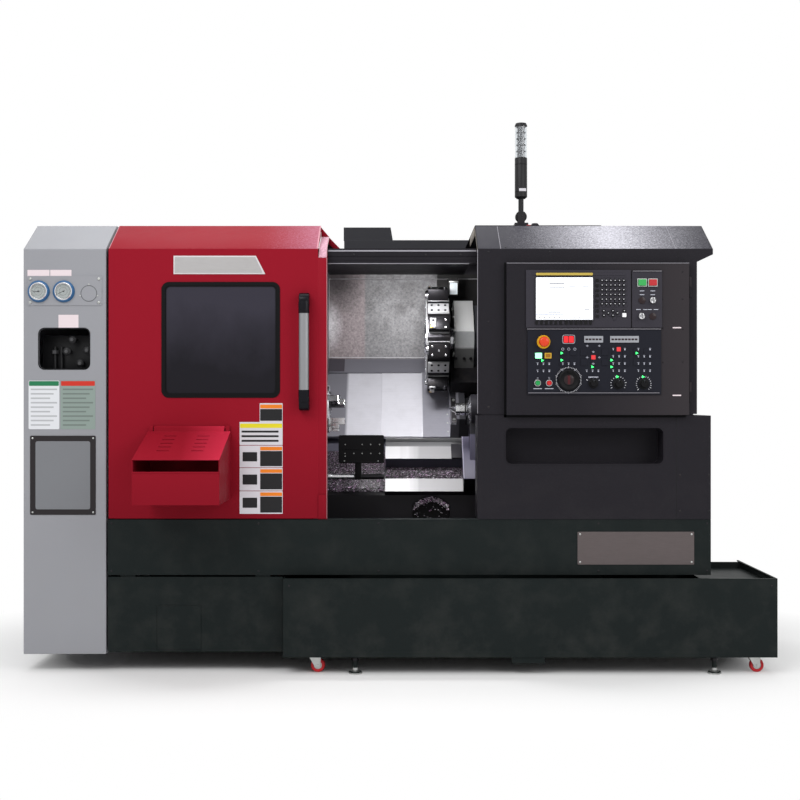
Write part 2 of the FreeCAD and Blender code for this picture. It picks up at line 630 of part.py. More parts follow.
def sliding_door():
    """Folded door with a sloping brow, a rounded window opening, a closing lip and low runners."""
    x0, x1 = door_left, door_right
    front = block(x0, x1, front_y, front_y + sheet, door_bottom, eave_z)
    corner, top = brow(0)
    inner_corner, inner_top = brow(sheet)
    slope_side = [corner, top, (top[0], roof_z - 25), (top[0] - sheet, roof_z - 25),
                  (top[0] - sheet, inner_top[1] - 1), inner_corner, (front_y + sheet, eave_z - 5),
                  (front_y, eave_z - 5)]
    slope = prism_x(slope_side, x0, x1)
    rib_corner, rib_top = brow(12)
    ribs = [prism_x([corner, top, (top[0] - 1, top[1] - 20), rib_corner, (front_y + 12, eave_z - 20),
                     (front_y, eave_z - 20)], x, x + sheet) for x in (x0, x1 - sheet)]
    sides = [block(x, x + sheet, front_y, front_y + door_depth, door_bottom, eave_z - 20)
             for x in (x0, x1 - sheet)]
    shelves = [block(x0, x1, front_y, front_y + door_depth, z, z + sheet)
               for z in (door_bottom, 1010, rail_z0 - 30)]
    lip = block(x1 - 1, x1 + door_lip, front_y + 25, front_y + 25 + sheet, door_bottom, eave_z - 12)
    runner = block(x0 + 20, x1 - 20, front_y + 12, front_y + 28, tray_top + 0.2, door_bottom + 1)
    hangers = [block(x, x + 60, front_y + sheet, guard_y - 2.2, rail_z0 + 11, rail_z0 + 25)
               for x in (x0 + 60, x1 - 120)]
    wx0, wx1, wz0, wz1 = window
    hole = rounded_plate(wx0, wx1, wz0, wz1, front_y - 1, front_y + sheet + 1, window_radius)
    frame = [front, slope, lip, runner] + ribs + sides + shelves + hangers
    save("sliding_door", cut(joined(frame), [hole]))


def door_window():
    """Laminated pane in its rubber frame, behind the window opening."""
    x0, x1, z0, z1 = window
    back = front_y + 11
    frame = rounded_plate(x0 - 20, x1 + 20, z0 - 20, z1 + 20, front_y + sheet, back, window_radius + 20)
    inner = rounded_plate(x0 + 8, x1 - 8, z0 + 8, z1 - 8, front_y + sheet - 1, back + 1, window_radius - 8)
    pane = rounded_plate(x0 + 8, x1 - 8, z0 + 8, z1 - 8, front_y + 5, front_y + 10, window_radius - 8)
    save("door_window", cut(frame, [inner]), pane)


def door_handle():
    """Upright grip on two swept ends."""
    z0, z1 = 1046.0, 1514.0
    y_out = front_y - handle_reach
    half = 13.0
    grip = rod_z(1124, 1436, handle_x, y_out + half, half)
    low = prism_x([(front_y, z0), (front_y, z0 + 44), (y_out + 30, 1124), (y_out, 1124), (y_out, 1104),
                   (front_y - 26, z0)], handle_x - half, handle_x + half)
    high = prism_x([(front_y, z1), (front_y, z1 - 44), (y_out + 30, 1436), (y_out, 1436), (y_out, 1456),
                    (front_y - 26, z1)], handle_x - half, handle_x + half)
    save("door_handle", grip, low, high)


box_x0, box_x1 = -998.0, -670.0
box_z0, box_z1 = 694.0, 966.0
box_front_y = front_y - box_reach + sheet + 1
box_lip_z = 819.0
lid_front_z = 862.0
lid_hinge_y = front_y - 10.0
lid_hinge_z = 978.0


def parts_box():
    """Open-fronted box for finished parts, with a low front wall and hinge lugs at the top."""
    side = [(front_y, box_z0), (box_front_y, box_z0), (box_front_y, lid_front_z), (front_y, box_z1)]
    outer = prism_x(side, box_x0, box_x1)
    inner = prism_x([(front_y - sheet, box_z0 + sheet), (box_front_y + sheet, box_z0 + sheet),
                     (box_front_y + sheet, box_z1 + 50), (front_y - sheet, box_z1 + 50)],
                    box_x0 + sheet, box_x1 - sheet)
    gap = block(box_x0 + sheet, box_x1 - sheet, box_front_y - 1, box_front_y + sheet + 1, box_lip_z, box_z1)
    lugs = [block(x, x + 16, lid_hinge_y - 7, front_y, box_z1 - 12, lid_hinge_z + 7)
            for x in (box_x0 + 4, box_x1 - 20)]
    pin = bore(turned_x, box_x0, box_x1, lid_hinge_y, lid_hinge_z, 3)
    save("parts_box", cut(joined([cut(outer, [inner, gap])] + lugs), [pin]))


def parts_box_lid():
    """Sloping lid with two columns of louvre slots, a front lip and its hinge pin."""
    fall = (box_z1 - lid_front_z) / (front_y - box_front_y)

    def top(y, lift):
        return y, box_z1 - (front_y - y) * fall + lift
    y0, y1 = front_y - box_reach, front_y - 18
    plate = prism_x([top(y1, 0.5), top(y0 + sheet, 0.5), (y0 + sheet, lid_front_z + 1), (y0, lid_front_z + 1),
                     top(y0, 0.5 + sheet), top(y1, 0.5 + sheet)], box_x0, box_x1)
    slots = []
    for cx in (-900, -768):
        for i in range(5):
            yc = front_y - 75 - i * 40
            slots.append(block(cx - 24, cx + 24, yc, yc + 9, box_lip_z, box_z1 + 10))
    strap = block(box_x0 + 24, box_x1 - 24, y1 - 6, lid_hinge_y, lid_hinge_z - 3, lid_hinge_z + 3)
    web = block(box_x0 + 24, box_x1 - 24, y1 - 6, y1 - 3, top(y1 - 6, 2)[1], lid_hinge_z + 3)
    barrel = rod_x(box_x0 + 24, box_x1 - 24, lid_hinge_y, lid_hinge_z, 6)
    pin = rod_x(box_x0 + 5, box_x1 - 5, lid_hinge_y, lid_hinge_z, 3)
    save("parts_box_lid", joined([cut(plate, slots), strap, web, barrel, pin]))


# ---------------------------------------------------------------- operator panel
panel_x0, panel_x1 = 430.0, 1156.0
panel_z0, panel_z1 = 1028.0, 1634.0
panel_y = front_y - 30.0
face_y = panel_y - 6.0
stem_radius = 6.0
# centre x, centre z of each control, by name
estop_at = (575.8, 1318.5)
start_at = (552.3, 1155.5)
hold_at = (598.0, 1155.5)
power_on_at = (966.8, 1554.1)
power_off_at = (1009.3, 1554.1)
wheel_at = (675.1, 1167.5)
mode_at = (772.9, 1153.2)
spindle_knob_at = (872.2, 1151.6)
feed_knob_at = (973.1, 1151.6)
upper_key_at = (1009.3, 1483.4)
lower_key_at = (965.2, 1420.2)
face_controls = [estop_at, start_at, hold_at, wheel_at, mode_at, spindle_knob_at, feed_knob_at]
switch_controls = [power_on_at, power_off_at, upper_key_at, lower_key_at]


def stem_holes(spots, y0, y1):
    return [bore(turned_y, y0, y1, x, z, stem_radius) for x, z in spots]


def operator_panel():
    """Hinged pan that carries the display and the controls."""
    outer = block(panel_x0, panel_x1, panel_y, front_y - 2, panel_z0, panel_z1)
    inner = block(panel_x0 + sheet, panel_x1 - sheet, panel_y + sheet, front_y, panel_z0 + sheet,
                  panel_z1 - sheet)
    windows = [block(532, 1026, panel_y - 1, front_y, 1126, 1352),
               block(945, 1034, panel_y - 1, front_y, 1390, 1586)]
    body = cut(outer, [inner] + windows)
    knuckles = [hinge_barrel(hinge_x, hinge_y, z, panel_x1 - 1, hinge_x) for z in panel_hinge_z]
    save("operator_panel", joined([body] + knuckles))


key_rise = 3.0
pad_key = 12.0


def square_key(x, z, width, height):
    """Flat key standing on the panel's face, by its centre."""
    return block(x - width / 2, x + width / 2, face_y - key_rise, face_y, z - height / 2, z + height / 2)


def display_unit():
    """Display bezel with its recessed screen and the row of keys under it."""
    bezel = block(506.6, 923.0, face_y, panel_y, 1375.3, 1604.6)
    screen_x0, screen_x1, screen_z0, screen_z1 = 546.4, 770.9, 1407.5, 1574.0
    recess = block(screen_x0, screen_x1, face_y - 1, face_y + 3, screen_z0, screen_z1)
    bar = block(532, 900, face_y - 1.5, face_y, screen_z1 + 9, screen_z1 + 18.7)
    soft_keys, soft_pitch, soft_width, soft_height = 12, 18.4, 14.0, 12.0
    soft_x, soft_z = screen_x0 + 10.6, screen_z0 - 13.5
    keys = [square_key(soft_x + i * soft_pitch, soft_z, soft_width, soft_height) for i in range(soft_keys)]
    side_x, side_z, side_pitch = screen_x1 + 18.1, screen_z0 + 20.5, 30.0
    side_keys = [square_key(side_x, side_z + i * side_pitch, 12, 16) for i in range(5)]
    save("display_unit", cut(bezel, [recess]), bar, *keys, *side_keys)


def key_pad():
    """Data keys beside the screen, and the switch unit with square keys and the two key switches' plate."""
    keys = []
    pad_x, pitch_x = 814.0, 17.2
    for top_z, rows, pitch_z in ((1566, 4, 19), (1482, 2, 18)):
        for row in range(rows):
            for col in range(6):
                keys.append(square_key(pad_x + col * pitch_x, top_z - row * pitch_z, pad_key, pad_key))
    arrow_x, arrow_z = 858.0, 1427.0
    for dx, dz in ((0, 15), (-16, 0), (16, 0), (0, -15)):
        keys.append(square_key(arrow_x + dx, arrow_z + dz, pad_key, pad_key))
    unit = block(927.8, 1047, face_y, panel_y, 1375.3, 1600.6)
    holes = stem_holes(switch_controls, face_y - 1, panel_y + 1)
    save("key_pad", cut(unit, holes), *keys)


def control_face():
    """Lower control plate with rows of square keys and two silver label strips."""
    plate = block(512.6, 1043, face_y, panel_y, 1109.5, 1370)
    key, first_x, pitch_x, first_z, pitch_z = 26.0, 652.0, 42.0, 1278.0, 40.0
    keys = [square_key(first_x + col * pitch_x, first_z - row * pitch_z, key, key)
            for row in range(2) for col in range(9)]
    keys += [square_key(556 + col * 37, 1263, key, key) for col in range(2)]
    strips = [block(x0, x1, face_y - 1, face_y, 1316, 1341) for x0, x1 in ((737, 812), (840, 954))]
    readout = block(650, 700, face_y - 3, face_y, 1312, 1346)
    holes = stem_holes(face_controls, face_y - 1, panel_y + 1)
    save("control_face", cut(plate, holes), readout, *keys, *strips)


def push_button(name, spot, cap_radius, sides):
    """Round or square cap on a stem that goes through the panel."""
    x, z = spot
    stem = rod_y(face_y - 5, panel_y + 14, x, z, stem_radius)
    if sides == 4:
        cap = block(x - cap_radius, x + cap_radius, face_y - 13, face_y - 4.5, z - cap_radius * 0.8,
                    z + cap_radius * 0.8)
    else:
        cap = rod_y(face_y - 13, face_y - 4.5, x, z, cap_radius)
    save(name, joined([stem, cap]))


def emergency_stop():
    """Mushroom head on a stem."""
    x, z = estop_at
    head = turned_y([(face_y - 38, 0), (face_y - 36, 14), (face_y - 30, 21), (face_y - 22, 22.6),
                     (face_y - 20, 12), (face_y - 5, 12), (face_y - 5, stem_radius),
                     (panel_y + 14, stem_radius), (panel_y + 14, 0)], x, z)
    save("emergency_stop", head)


def handwheel():
    """Pulse-generator wheel with a round rim, a hub and a spinner knob."""
    x, z = wheel_at
    wheel = turned_y([(face_y - 8, 0), (face_y - 8, 41), (face_y - 12, 42.5), (face_y - 20, 42.5),
                      (face_y - 24, 39), (face_y - 24, 30), (face_y - 18, 28), (face_y - 18, 12),
                      (face_y - 24, 10), (face_y - 24, 0)], x, z)
    stem = rod_y(face_y - 9, panel_y + 14, x, z, stem_radius)
    spinner = rod_y(face_y - 46, face_y - 20, x + 22, z + 14, 7)
    save("handwheel", joined([wheel, stem, spinner]))


def knob(name, spot, radius, depth):
    """Fluted selector knob with a flat pointer ridge."""
    x, z = spot
    skirt = rod_y(face_y - 6, face_y - 1, x, z, radius)
    ridge = prism_y([(x - radius * 0.38, z - radius * 0.8), (x + radius * 0.38, z - radius * 0.8),
                     (x + radius * 0.38, z + radius * 0.6), (x, z + radius * 0.95),
                     (x - radius * 0.38, z + radius * 0.6)], face_y - depth, face_y - 5)
    stem = rod_y(face_y - 2, panel_y + 14, x, z, stem_radius)
    save(name, joined([skirt, ridge, stem]))


def key_switch(name, spot):
    """Lock barrel with a key standing in it."""
    x, z = spot
    barrel = rod_y(face_y - 6, face_y - 1, x, z, 12)
    blade = block(x - 1.5, x + 1.5, face_y - 18, face_y - 5, z - 5, z + 5)
    bow = block(x - 2, x + 2, face_y - 38, face_y - 17, z - 11, z + 11)
    stem = rod_y(face_y - 2, panel_y + 14, x, z, stem_radius)
    save(name, joined([barrel, blade, bow, stem]))


# ---------------------------------------------------------------- spindle and chuck
spindle_rear = -1400.0
cylinder_front = -1120.0


def spindle():
    """Hollow spindle with its nose flange and the chuck cylinder on its rear end."""
    nose_x = headstock_right + 26
    chuck_back = chuck_face_x - chuck_length
    body = turned_x([(spindle_rear, spindle_bore), (spindle_rear, 48), (spindle_rear + 70, 48),
                     (spindle_rear + 70, 92), (cylinder_front - 30, 92), (cylinder_front, 75),
                     (cylinder_front, shaft_radius), (nose_x, shaft_radius), (nose_x, 84),
                     (chuck_back, 84), (chuck_back, spindle_bore)], spindle_y, spindle_z, spindle_sides)
    save("spindle", body)


jaw_width = 30.0
jaw_out = 98.0
jaw_in = 38.0
jaw_floor_x = chuck_face_x - 26
jaw_step_x = -262.0
jaw_top_x = -236.0


def jaw_turn(shape, index):
    """Copy of a shape drawn above the axis, turned to its jaw; the first jaw hangs straight down."""
    turned = shape.copy()
    turned.rotate(V(0, spindle_y, spindle_z), V(1, 0, 0), 180 + 120 * index)
    return turned


def chuck_body():
    """Round chuck body with a bore and three radial jaw slots."""
    x0 = chuck_face_x - chuck_length
    body = turned_x([(x0, spindle_bore), (x0, chuck_radius - 6), (x0 + 6, chuck_radius),
                     (chuck_face_x - 6, chuck_radius), (chuck_face_x, chuck_radius - 6),
                     (chuck_face_x, spindle_bore)], spindle_y, spindle_z, 24)
    half = jaw_width / 2 + slide_gap
    slot = block(jaw_floor_x - slide_gap, chuck_face_x + 1, spindle_y - half, spindle_y + half,
                 spindle_z + 22, spindle_z + chuck_radius + 1)
    save("chuck_body", cut(body, [jaw_turn(slot, i) for i in range(3)]))


def chuck_jaws():
    """Three stepped jaws, each in its own slot."""
    y0, y1 = spindle_y - jaw_width / 2, spindle_y + jaw_width / 2
    z0 = spindle_z + jaw_in
    low = block(jaw_floor_x, jaw_step_x, y0, y1, z0, spindle_z + jaw_out)
    high = block(jaw_step_x - 1, jaw_top_x, y0, y1, z0, z0 + 30)
    jaw = joined([low, high])
    for i in range(3):
        save("chuck_jaw_%d" % (i + 1), jaw_turn(jaw, i))


# ---------------------------------------------------------------- carriage and turret
saddle_left = 235.0
saddle_cover_left = 110.0
saddle_right = 585.0
slide_left = 240.0
housing_left = 256.0
slide_right = 520.0
cross_v0 = -125.0
cross_v1 = -60.0


def saddle():
    """Saddle on the upper ways with two cross rails, the screw nut, its motor and its own cover plate."""
    base = slant_block(saddle_left, saddle_right, cover_u0, cover_u1, way_v + slide_gap, -160)
    rails = [slant_block(x, x + 40, cover_u0, cover_u1, -161, cross_v0) for x in (262, 458)]
    nut = slant_block(330, 430, screw_u - 38, screw_u + 38, screw_v - 36, way_v + 1)
    y, z = slant(screw_u, screw_v)
    hole = bore(turned_x, 329, 431, y, z, screw_radius, screw_sides)
    motor = slant_block(335, 425, cover_u1 - 1, 588, -225, -137)
    low_v = fixed_cover_v + sheet + 2 * slide_gap
    plate = slant_block(saddle_cover_left, saddle_left, cover_u0 - 2, cover_u1, low_v, low_v + sheet)
    skirt = slant_block(saddle_cover_left, saddle_left, cover_u0 - 2, cover_u0, way_v + 8, low_v + sheet)
    save("saddle", cut(joined([base, motor, nut] + rails), [hole]), joined([plate, skirt]))


def cross_slide():
    """Cross slide that rides on the saddle's rails."""
    plate = slant_block(slide_left, slide_right, 230, 520, cross_v0 + slide_gap, cross_v1)
    guides = [slant_block(x, x + 20, 230, 520, -152, cross_v0 + 1) for x in (306, 434)]
    save("cross_slide", joined([plate] + guides))


turret_shaft = 40.0


def turret_housing():
    """Index-gear housing with sloping shoulders, seated on the cross slide, with its motor behind."""
    side = [(589, 122), (389, 106), (335, 52), (325, cross_v1), (520, cross_v1), (695, 16)]
    front = slanted(side, housing_left, 345)
    inset = [(575, 105), (400, 92), (350, 46), (342, cross_v1), (518, cross_v1), (660, 16)]
    rear = slanted(inset, 344, 520)
    y, z = slant(turret_u, turret_v)
    hole = bore(turned_x, housing_left - 1, 320, y, z, turret_shaft)
    save("turret_housing", cut(joined([front, rear]), [hole]))


def turret_disc():
    """Twelve-sided turret disc on its shaft, with a raised cap."""
    y, z = slant(turret_u, turret_v)
    corner = disc_radius / math.cos(math.pi / stations)
    start = math.radians(slope_deg) + math.pi / stations
    ring = [(y + corner * math.cos(start + 2 * math.pi * i / stations),
             z + corner * math.sin(start + 2 * math.pi * i / stations)) for i in range(stations)]
    disc = prism_x(ring, turret_left, turret_right)
    hub = rod_x(turret_left - 8, turret_left, y, z, 70, 16)
    collar = rod_x(turret_right, housing_left - 2, y, z, 55, 16)
    shaft = rod_x(housing_left - 2, 318, y, z, turret_shaft)
    save("turret_disc", disc, hub, collar, shaft)


def tool_holders():
    """Ring of holders: every third station is a low blank, the rest carry turning tools or boring sleeves."""
    y, z = slant(turret_u, turret_v)
    x0, x1 = turret_left + 8, turret_right - 6
    seat_z = z + disc_radius
    blank_height, clamp_height, sleeve_height = 8.0, 47.0, 55.0
    made = []
    for i in range(stations):
        if i % 3 == 0:
            solid = block(x0, x1, y - 30, y + 30, seat_z, seat_z + blank_height)
        elif i % 3 == 1:
            body = block(x0, x1, y - 27, y + 27, seat_z, seat_z + clamp_height)
            tool = block(x0 + 10, x0 + 30, y - 24, y - 4, seat_z + clamp_height - 12, z + tool_radius)
            solid = joined([body, tool])
        else:
            body = block(x0, x1, y - 30, y + 30, seat_z, seat_z + sleeve_height)
            sleeve = rod_x(x0 - 12, x1, y, seat_z + 23, 20, 10)
            solid = joined([body, sleeve])
        solid.rotate(V(0, y, z), V(1, 0, 0), slope_deg + 360 * i / stations)
        made.append(solid)
    save("tool_holders", *made)


def way_cover():
    """Middle leaf of the telescopic way cover."""
    x0, x1 = -80.0, 130.0
    low_v = fixed_cover_v + slide_gap
    plate = slant_block(x0, x1, cover_u0 + 2, cover_u1 - 2, low_v, low_v + sheet)
    skirt = slant_block(x0, x1, cover_u0 + 2, cover_u0 + 4, way_v + 5, low_v + sheet)
    save("way_cover", joined([plate, skirt]))


def z_ball_screw():
    """Feed screw with turned-down ends."""
    y, z = slant(screw_u, screw_v)
    end = screw_radius - 5
    save("z_ball_screw", turned_x([(screw_left + 1, 0), (screw_left + 1, end), (screw_left + 46, end),
                                   (screw_left + 46, screw_radius), (bed_right - 5, screw_radius),
                                   (bed_right - 5, end), (bed_right + 26, end), (bed_right + 26, 0)], y, z,
                                  screw_sides))


def z_feed_motor():
    """Bearing bracket on the end of the bed and the servo motor bolted to it."""
    x0 = bed_right
    bracket = slant_block(x0, x0 + 30, 215, 385, -390, -230)
    motor = slant_block(x0 + 30, x0 + 170, screw_u - 62, screw_u + 62, screw_v - 62, screw_v + 62)
    cap = slant_block(x0 + 170, x0 + 190, screw_u - 50, screw_u + 50, screw_v - 50, screw_v + 50)
    y, z = slant(screw_u, screw_v)
    hole = bore(turned_x, x0 - 1, x0 + 30, y, z, screw_radius - 5, screw_sides)
    save("z_feed_motor", cut(joined([bracket, motor, cap]), [hole]))


# ---------------------------------------------------------------- tailstock
tailstock_left = 285.0
tailstock_right = 600.0
barrel_left = tailstock_left + 30
quill_left = 306.0
quill_right = 575.0
quill_radius = 42.0
centre_shank = 12.0
centre_body = 27.0


def tailstock():
    """Tailstock body on the lower ways with a round barrel for the quill."""
    base = slant_block(tailstock_left, tailstock_right, -252, 12, way_v + slide_gap, -170)
    column = slanted([(-150, -171), (12, -171), (20, -120), (30, -60), (36, -40), (-48, -40), (-100, -110)],
                     barrel_left, tailstock_right)
    barrel = rod_x(barrel_left, tailstock_right, spindle_y, spindle_z, 65)
    hole = bore(turned_x, tailstock_left, tailstock_right - 20, spindle_y, spindle_z, quill_radius)
    save("tailstock", cut(joined([base, column, barrel]), [hole]))


def quill():
    """Quill with a socket for the centre."""
    x0 = quill_left
    body = turned_x([(x0, 0), (x0, quill_radius - 3), (x0 + 3, quill_radius), (quill_right, quill_radius),
                     (quill_right, 0)], spindle_y, spindle_z)
    socket = bore(turned_x, x0 - 1, x0 + 46, spindle_y, spindle_z, centre_shank)
    save("quill", cut(body, [socket]))


def live_centre():
    """Rotating centre: shank, body and a sixty degree point."""
    tip_x, shoulder_x, back_x = 218.0, 249.0, quill_left - 1
    point = turned_x([(tip_x, 0), (shoulder_x, 18), (shoulder_x, centre_body), (back_x - 4, centre_body),
                      (back_x, 20), (back_x, 0)], spindle_y, spindle_z)
    save("live_centre", joined([point, rod_x(back_x - 1, back_x + 45, spindle_y, spindle_z, centre_shank)]))


def parts_catcher():
    """Swinging plate on a shaft under the chuck, with a clamp collar and bolt heads."""
    x0, x1, z0, z1 = -262.0, -64.0, 813.0, 935.0
    plate_y = catcher_y - 33
    shaft = rod_x(guard_right - 26, x1 - 60, catcher_y, catcher_z, catcher_shaft)
    plate = block(x0, x1, plate_y, plate_y + 6, z0, z1)
    arm = block(x1 - 126, x1 - 100, plate_y + 5, catcher_y + catcher_shaft,
                catcher_z - catcher_shaft, z0 + 27)
    collar = rod_x(guard_right + 4, guard_right + 30, catcher_y, catcher_z, 2 * catcher_shaft)
    heads = [rod_y(plate_y - 5, plate_y, x, z, 8, 6) for x in (x0 + 22, x1 - 22) for z in (z0 + 22, z1 - 22)]
    save("parts_catcher", joined([shaft, plate, arm, collar] + heads))


# ---------------------------------------------------------------- signal tower
mast_x = 514.0
mast_y = front_y + 250.0
tower_top = 2249.0
knuckle_z = roof_z + 46
mast_top = knuckle_z + 76
lens_z0 = tower_top - 145
cap_height = 14.0


def tower_bracket():
    """Foot on the roof with two ears for the folding mast."""
    foot = block(mast_x - 28, mast_x + 28, mast_y - 28, mast_y + 28, roof_z, roof_z + 18)
    ears = [block(mast_x - 14, mast_x + 14, y, y + 6, roof_z + 17, knuckle_z + 12)
            for y in (mast_y - 19, mast_y + 13)]
    pin = bore(turned_y, mast_y - 30, mast_y + 30, mast_x, knuckle_z, 5)
    save("tower_bracket", cut(joined([foot] + ears), [pin]))


def signal_tower():
    """Folding mast with a dark body and a clear lens."""
    knuckle = rod_y(mast_y - 12, mast_y + 12, mast_x, knuckle_z, 24)
    pin = rod_y(mast_y - 19, mast_y + 19, mast_x, knuckle_z, 5)
    mast = rod_z(knuckle_z, mast_top + 1, mast_x, mast_y, 11)
    body = turned_z([(mast_top, 0), (mast_top, 20), (mast_top + 5, 26), (lens_z0, 26), (lens_z0, 0)],
                    mast_x, mast_y, 14)
    cap_z = tower_top - cap_height
    lens = rod_z(lens_z0, cap_z, mast_x, mast_y, 25, 14)
    cap = turned_z([(cap_z, 0), (cap_z, 26), (tower_top, 22), (tower_top, 0)], mast_x, mast_y, 14)
    save("signal_tower", joined([knuckle, pin, mast, body]), lens, cap)


# ---------------------------------------------------------------- coolant tank
tank_left = -457.0
tank_front = front_y - 55.0
tank_back = spindle_y - 30.0
tank_bottom = 69.0
castor_radius = 28.0
castor_trail = 20.0
castor_xs = (tank_left + 114.5, tank_right - 87)
jack_xs = (tank_left + 285, tank_right - 243)
baffle_x = tank_right - 600
deck_x = tank_right - 260
castor_front_y = tank_front + 62
castor_pin = 6.0
castor_axle = 4.0


def coolant_tank():
    """Pull-out tank with a baffle, a pump, plain rear rollers, two jack feet and a pull bracket."""
    x0, x1 = tank_left, tank_right
    shell = cut(block(x0, x1, tank_front, tank_back, tank_bottom, tank_top),
                [block(x0 + sheet, x1 - sheet, tank_front + sheet, tank_back - sheet,
                       tank_bottom + sheet, tank_top + 1)])
    baffle = block(baffle_x, baffle_x + sheet, tank_front + 2, tank_back - 2, tank_bottom + 2, 330)
    deck = block(deck_x, x1 - 1, tank_front + 1, tank_back - 1, tank_top - 30, tank_top - 30 + sheet)
    pump = rod_z(tank_bottom + 40, tank_top - 29, deck_x + 110, tank_back - 140, 60, 12)
    bosses = [block(x - 16, x + 16, castor_front_y - 16, castor_front_y + 16,
                    tank_bottom + 1, tank_bottom + 16) for x in castor_xs]
    pins = [bore(turned_z, tank_bottom - 1, tank_bottom + 17, x, castor_front_y, castor_pin)
            for x in castor_xs]
    extras = []
    for x in castor_xs:
        y = tank_back - 60
        extras.append(block(x - 25, x + 25, y - 20, y - 14, castor_radius - 8, tank_bottom))
        extras.append(block(x - 25, x + 25, y + 14, y + 20, castor_radius - 8, tank_bottom))
        extras.append(rod_y(y - 14, y + 14, x, castor_radius, castor_radius, 12))
    for x in jack_xs:
        y = tank_front + 30
        extras.append(hex_prism((x, y, 0), (0, 0, 1), 10, 46))
        extras.append(hex_prism((x, y, 10), (0, 0, 1), tank_bottom - 10, 18))
    extras.append(block(449, 580, tank_front + 4, tank_front + 10, 45, tank_bottom))
    bed_front = slant(tail_way_low - way_width / 2 - 2, bed_v)[0]
    extras += [block(x, x + 60, tank_back, bed_front - slide_gap, 220, 280) for x in (-160, 760)]
    body = joined([shell, baffle, deck, pump] + bosses + extras)
    save("coolant_tank", cut(body, pins))


def castor_forks():
    """Swivel fork, kingpin and axle for each front castor."""
    for name, x in zip(("castor_fork_left", "castor_fork_right"), castor_xs):
        y = castor_front_y
        plate = block(x - 18, x + castor_trail + 12, y - 17, y + 17, tank_bottom - 7, tank_bottom - 3)
        race = rod_z(tank_bottom - 4, tank_bottom - slide_gap, x, y, 14, 8)
        pin = rod_z(tank_bottom - 1, tank_bottom + 15, x, y, castor_pin)
        legs = [prism_y([(x - 16, tank_bottom - 4), (x + castor_trail + 12, tank_bottom - 4),
                         (x + castor_trail + 10, castor_radius - 8),
                         (x + castor_trail - 10, castor_radius - 8)],
                        y0, y0 + 3) for y0 in (y - 17, y + 14)]
        axle = rod_y(y - 17, y + 17, x + castor_trail, castor_radius, castor_axle)
        save(name, joined([plate, race, pin, axle] + legs))


def castor_wheels():
    """Wheel with a bored hub for each front castor."""
    wheel_sides = 14
    for name, x in zip(("castor_wheel_left", "castor_wheel_right"), castor_xs):
        y = castor_front_y
        wheel = turned_y([(y - 11, 0), (y - 11, castor_radius - 3), (y - 8, castor_radius),
                          (y + 8, castor_radius), (y + 11, castor_radius - 3), (y + 11, 0)],
                         x + castor_trail, castor_radius, wheel_sides)
        hub = bore(turned_y, y - 12, y + 12, x + castor_trail, castor_radius, castor_axle)
        save(name, cut(wheel, [hub]))


for build in (slant_bed, levelling_feet, front_tray, kick_panel, left_end_cover, gauge_panel, headstock,
              spindle_motor, headstock_guard, splash_back, roof_cover, door_rail, right_cover,
              right_lower_cover, electrical_cabinet, cabinet_door, sliding_door, door_window, door_handle,
              parts_box, parts_box_lid, operator_panel, display_unit, key_pad, control_face, emergency_stop,
              handwheel, spindle, chuck_body, chuck_jaws, saddle, cross_slide, turret_housing, turret_disc,
              tool_holders, way_cover, z_ball_screw, z_feed_motor, tailstock, quill, live_centre,
              parts_catcher, tower_bracket, signal_tower, coolant_tank, castor_forks, castor_wheels):
    build()
push_button("start_button", start_at, 15, 0)
push_button("hold_button", hold_at, 15, 0)
push_button("power_on_button", power_on_at, 15, 4)
push_button("power_off_button", power_off_at, 15, 4)
knob("mode_knob", mode_at, 20, 24)
knob("spindle_knob", spindle_knob_at, 21.5, 24)
knob("feed_knob", feed_knob_at, 21.5, 24)
key_switch("upper_key", upper_key_at)
key_switch("lower_key", lower_key_at)
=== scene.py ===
"""Dresses the slant-bed turning centre: finishes, covers' details, controls, work space and studio."""
import math
import random

import bmesh
import bpy
from bpy.props import BoolProperty, FloatProperty, FloatVectorProperty, IntProperty, PointerProperty
from mathutils import Matrix, Vector


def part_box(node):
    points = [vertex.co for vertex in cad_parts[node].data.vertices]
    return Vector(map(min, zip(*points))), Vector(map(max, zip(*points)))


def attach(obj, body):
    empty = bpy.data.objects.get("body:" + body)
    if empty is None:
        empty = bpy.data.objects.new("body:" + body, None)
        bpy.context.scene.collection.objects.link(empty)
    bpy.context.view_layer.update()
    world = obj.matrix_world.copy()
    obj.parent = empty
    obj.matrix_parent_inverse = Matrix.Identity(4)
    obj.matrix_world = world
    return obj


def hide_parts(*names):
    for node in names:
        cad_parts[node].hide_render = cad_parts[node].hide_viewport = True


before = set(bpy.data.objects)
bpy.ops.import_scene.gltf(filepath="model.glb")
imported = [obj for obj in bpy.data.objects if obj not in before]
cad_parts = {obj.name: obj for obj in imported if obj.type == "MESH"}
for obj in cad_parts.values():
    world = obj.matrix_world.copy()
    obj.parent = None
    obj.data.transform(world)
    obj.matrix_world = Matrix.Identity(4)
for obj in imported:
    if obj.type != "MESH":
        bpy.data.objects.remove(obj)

bl_info = {
    "name": "Turning centre dressing",
    "version": (1, 0, 0),
    "blender": (4, 5, 0),
    "location": "View3D > Sidebar > Lathe",
    "description": "Finishes and fine pieces for a slant-bed turning centre",
    "category": "Object",
}

MM = 0.001                 # every length below is in millimetres unless it says otherwise
SLOPE = math.radians(45)   # slant of the bed
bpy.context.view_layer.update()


def cad(node):
    """Corners of a CAD node in millimetres: x0, x1, y0, y1, z0, z1."""
    low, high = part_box(node)
    return low[0] / MM, high[0] / MM, low[1] / MM, high[1] / MM, low[2] / MM, high[2] / MM


def colour(red, green, blue):
    """Linear colour from the 0 to 255 values that a screen shows."""
    def linear(value):
        value = value / 255
        return value / 12.92 if value <= 0.04045 else ((value + 0.055) / 1.055) ** 2.4
    return linear(red), linear(green), linear(blue)


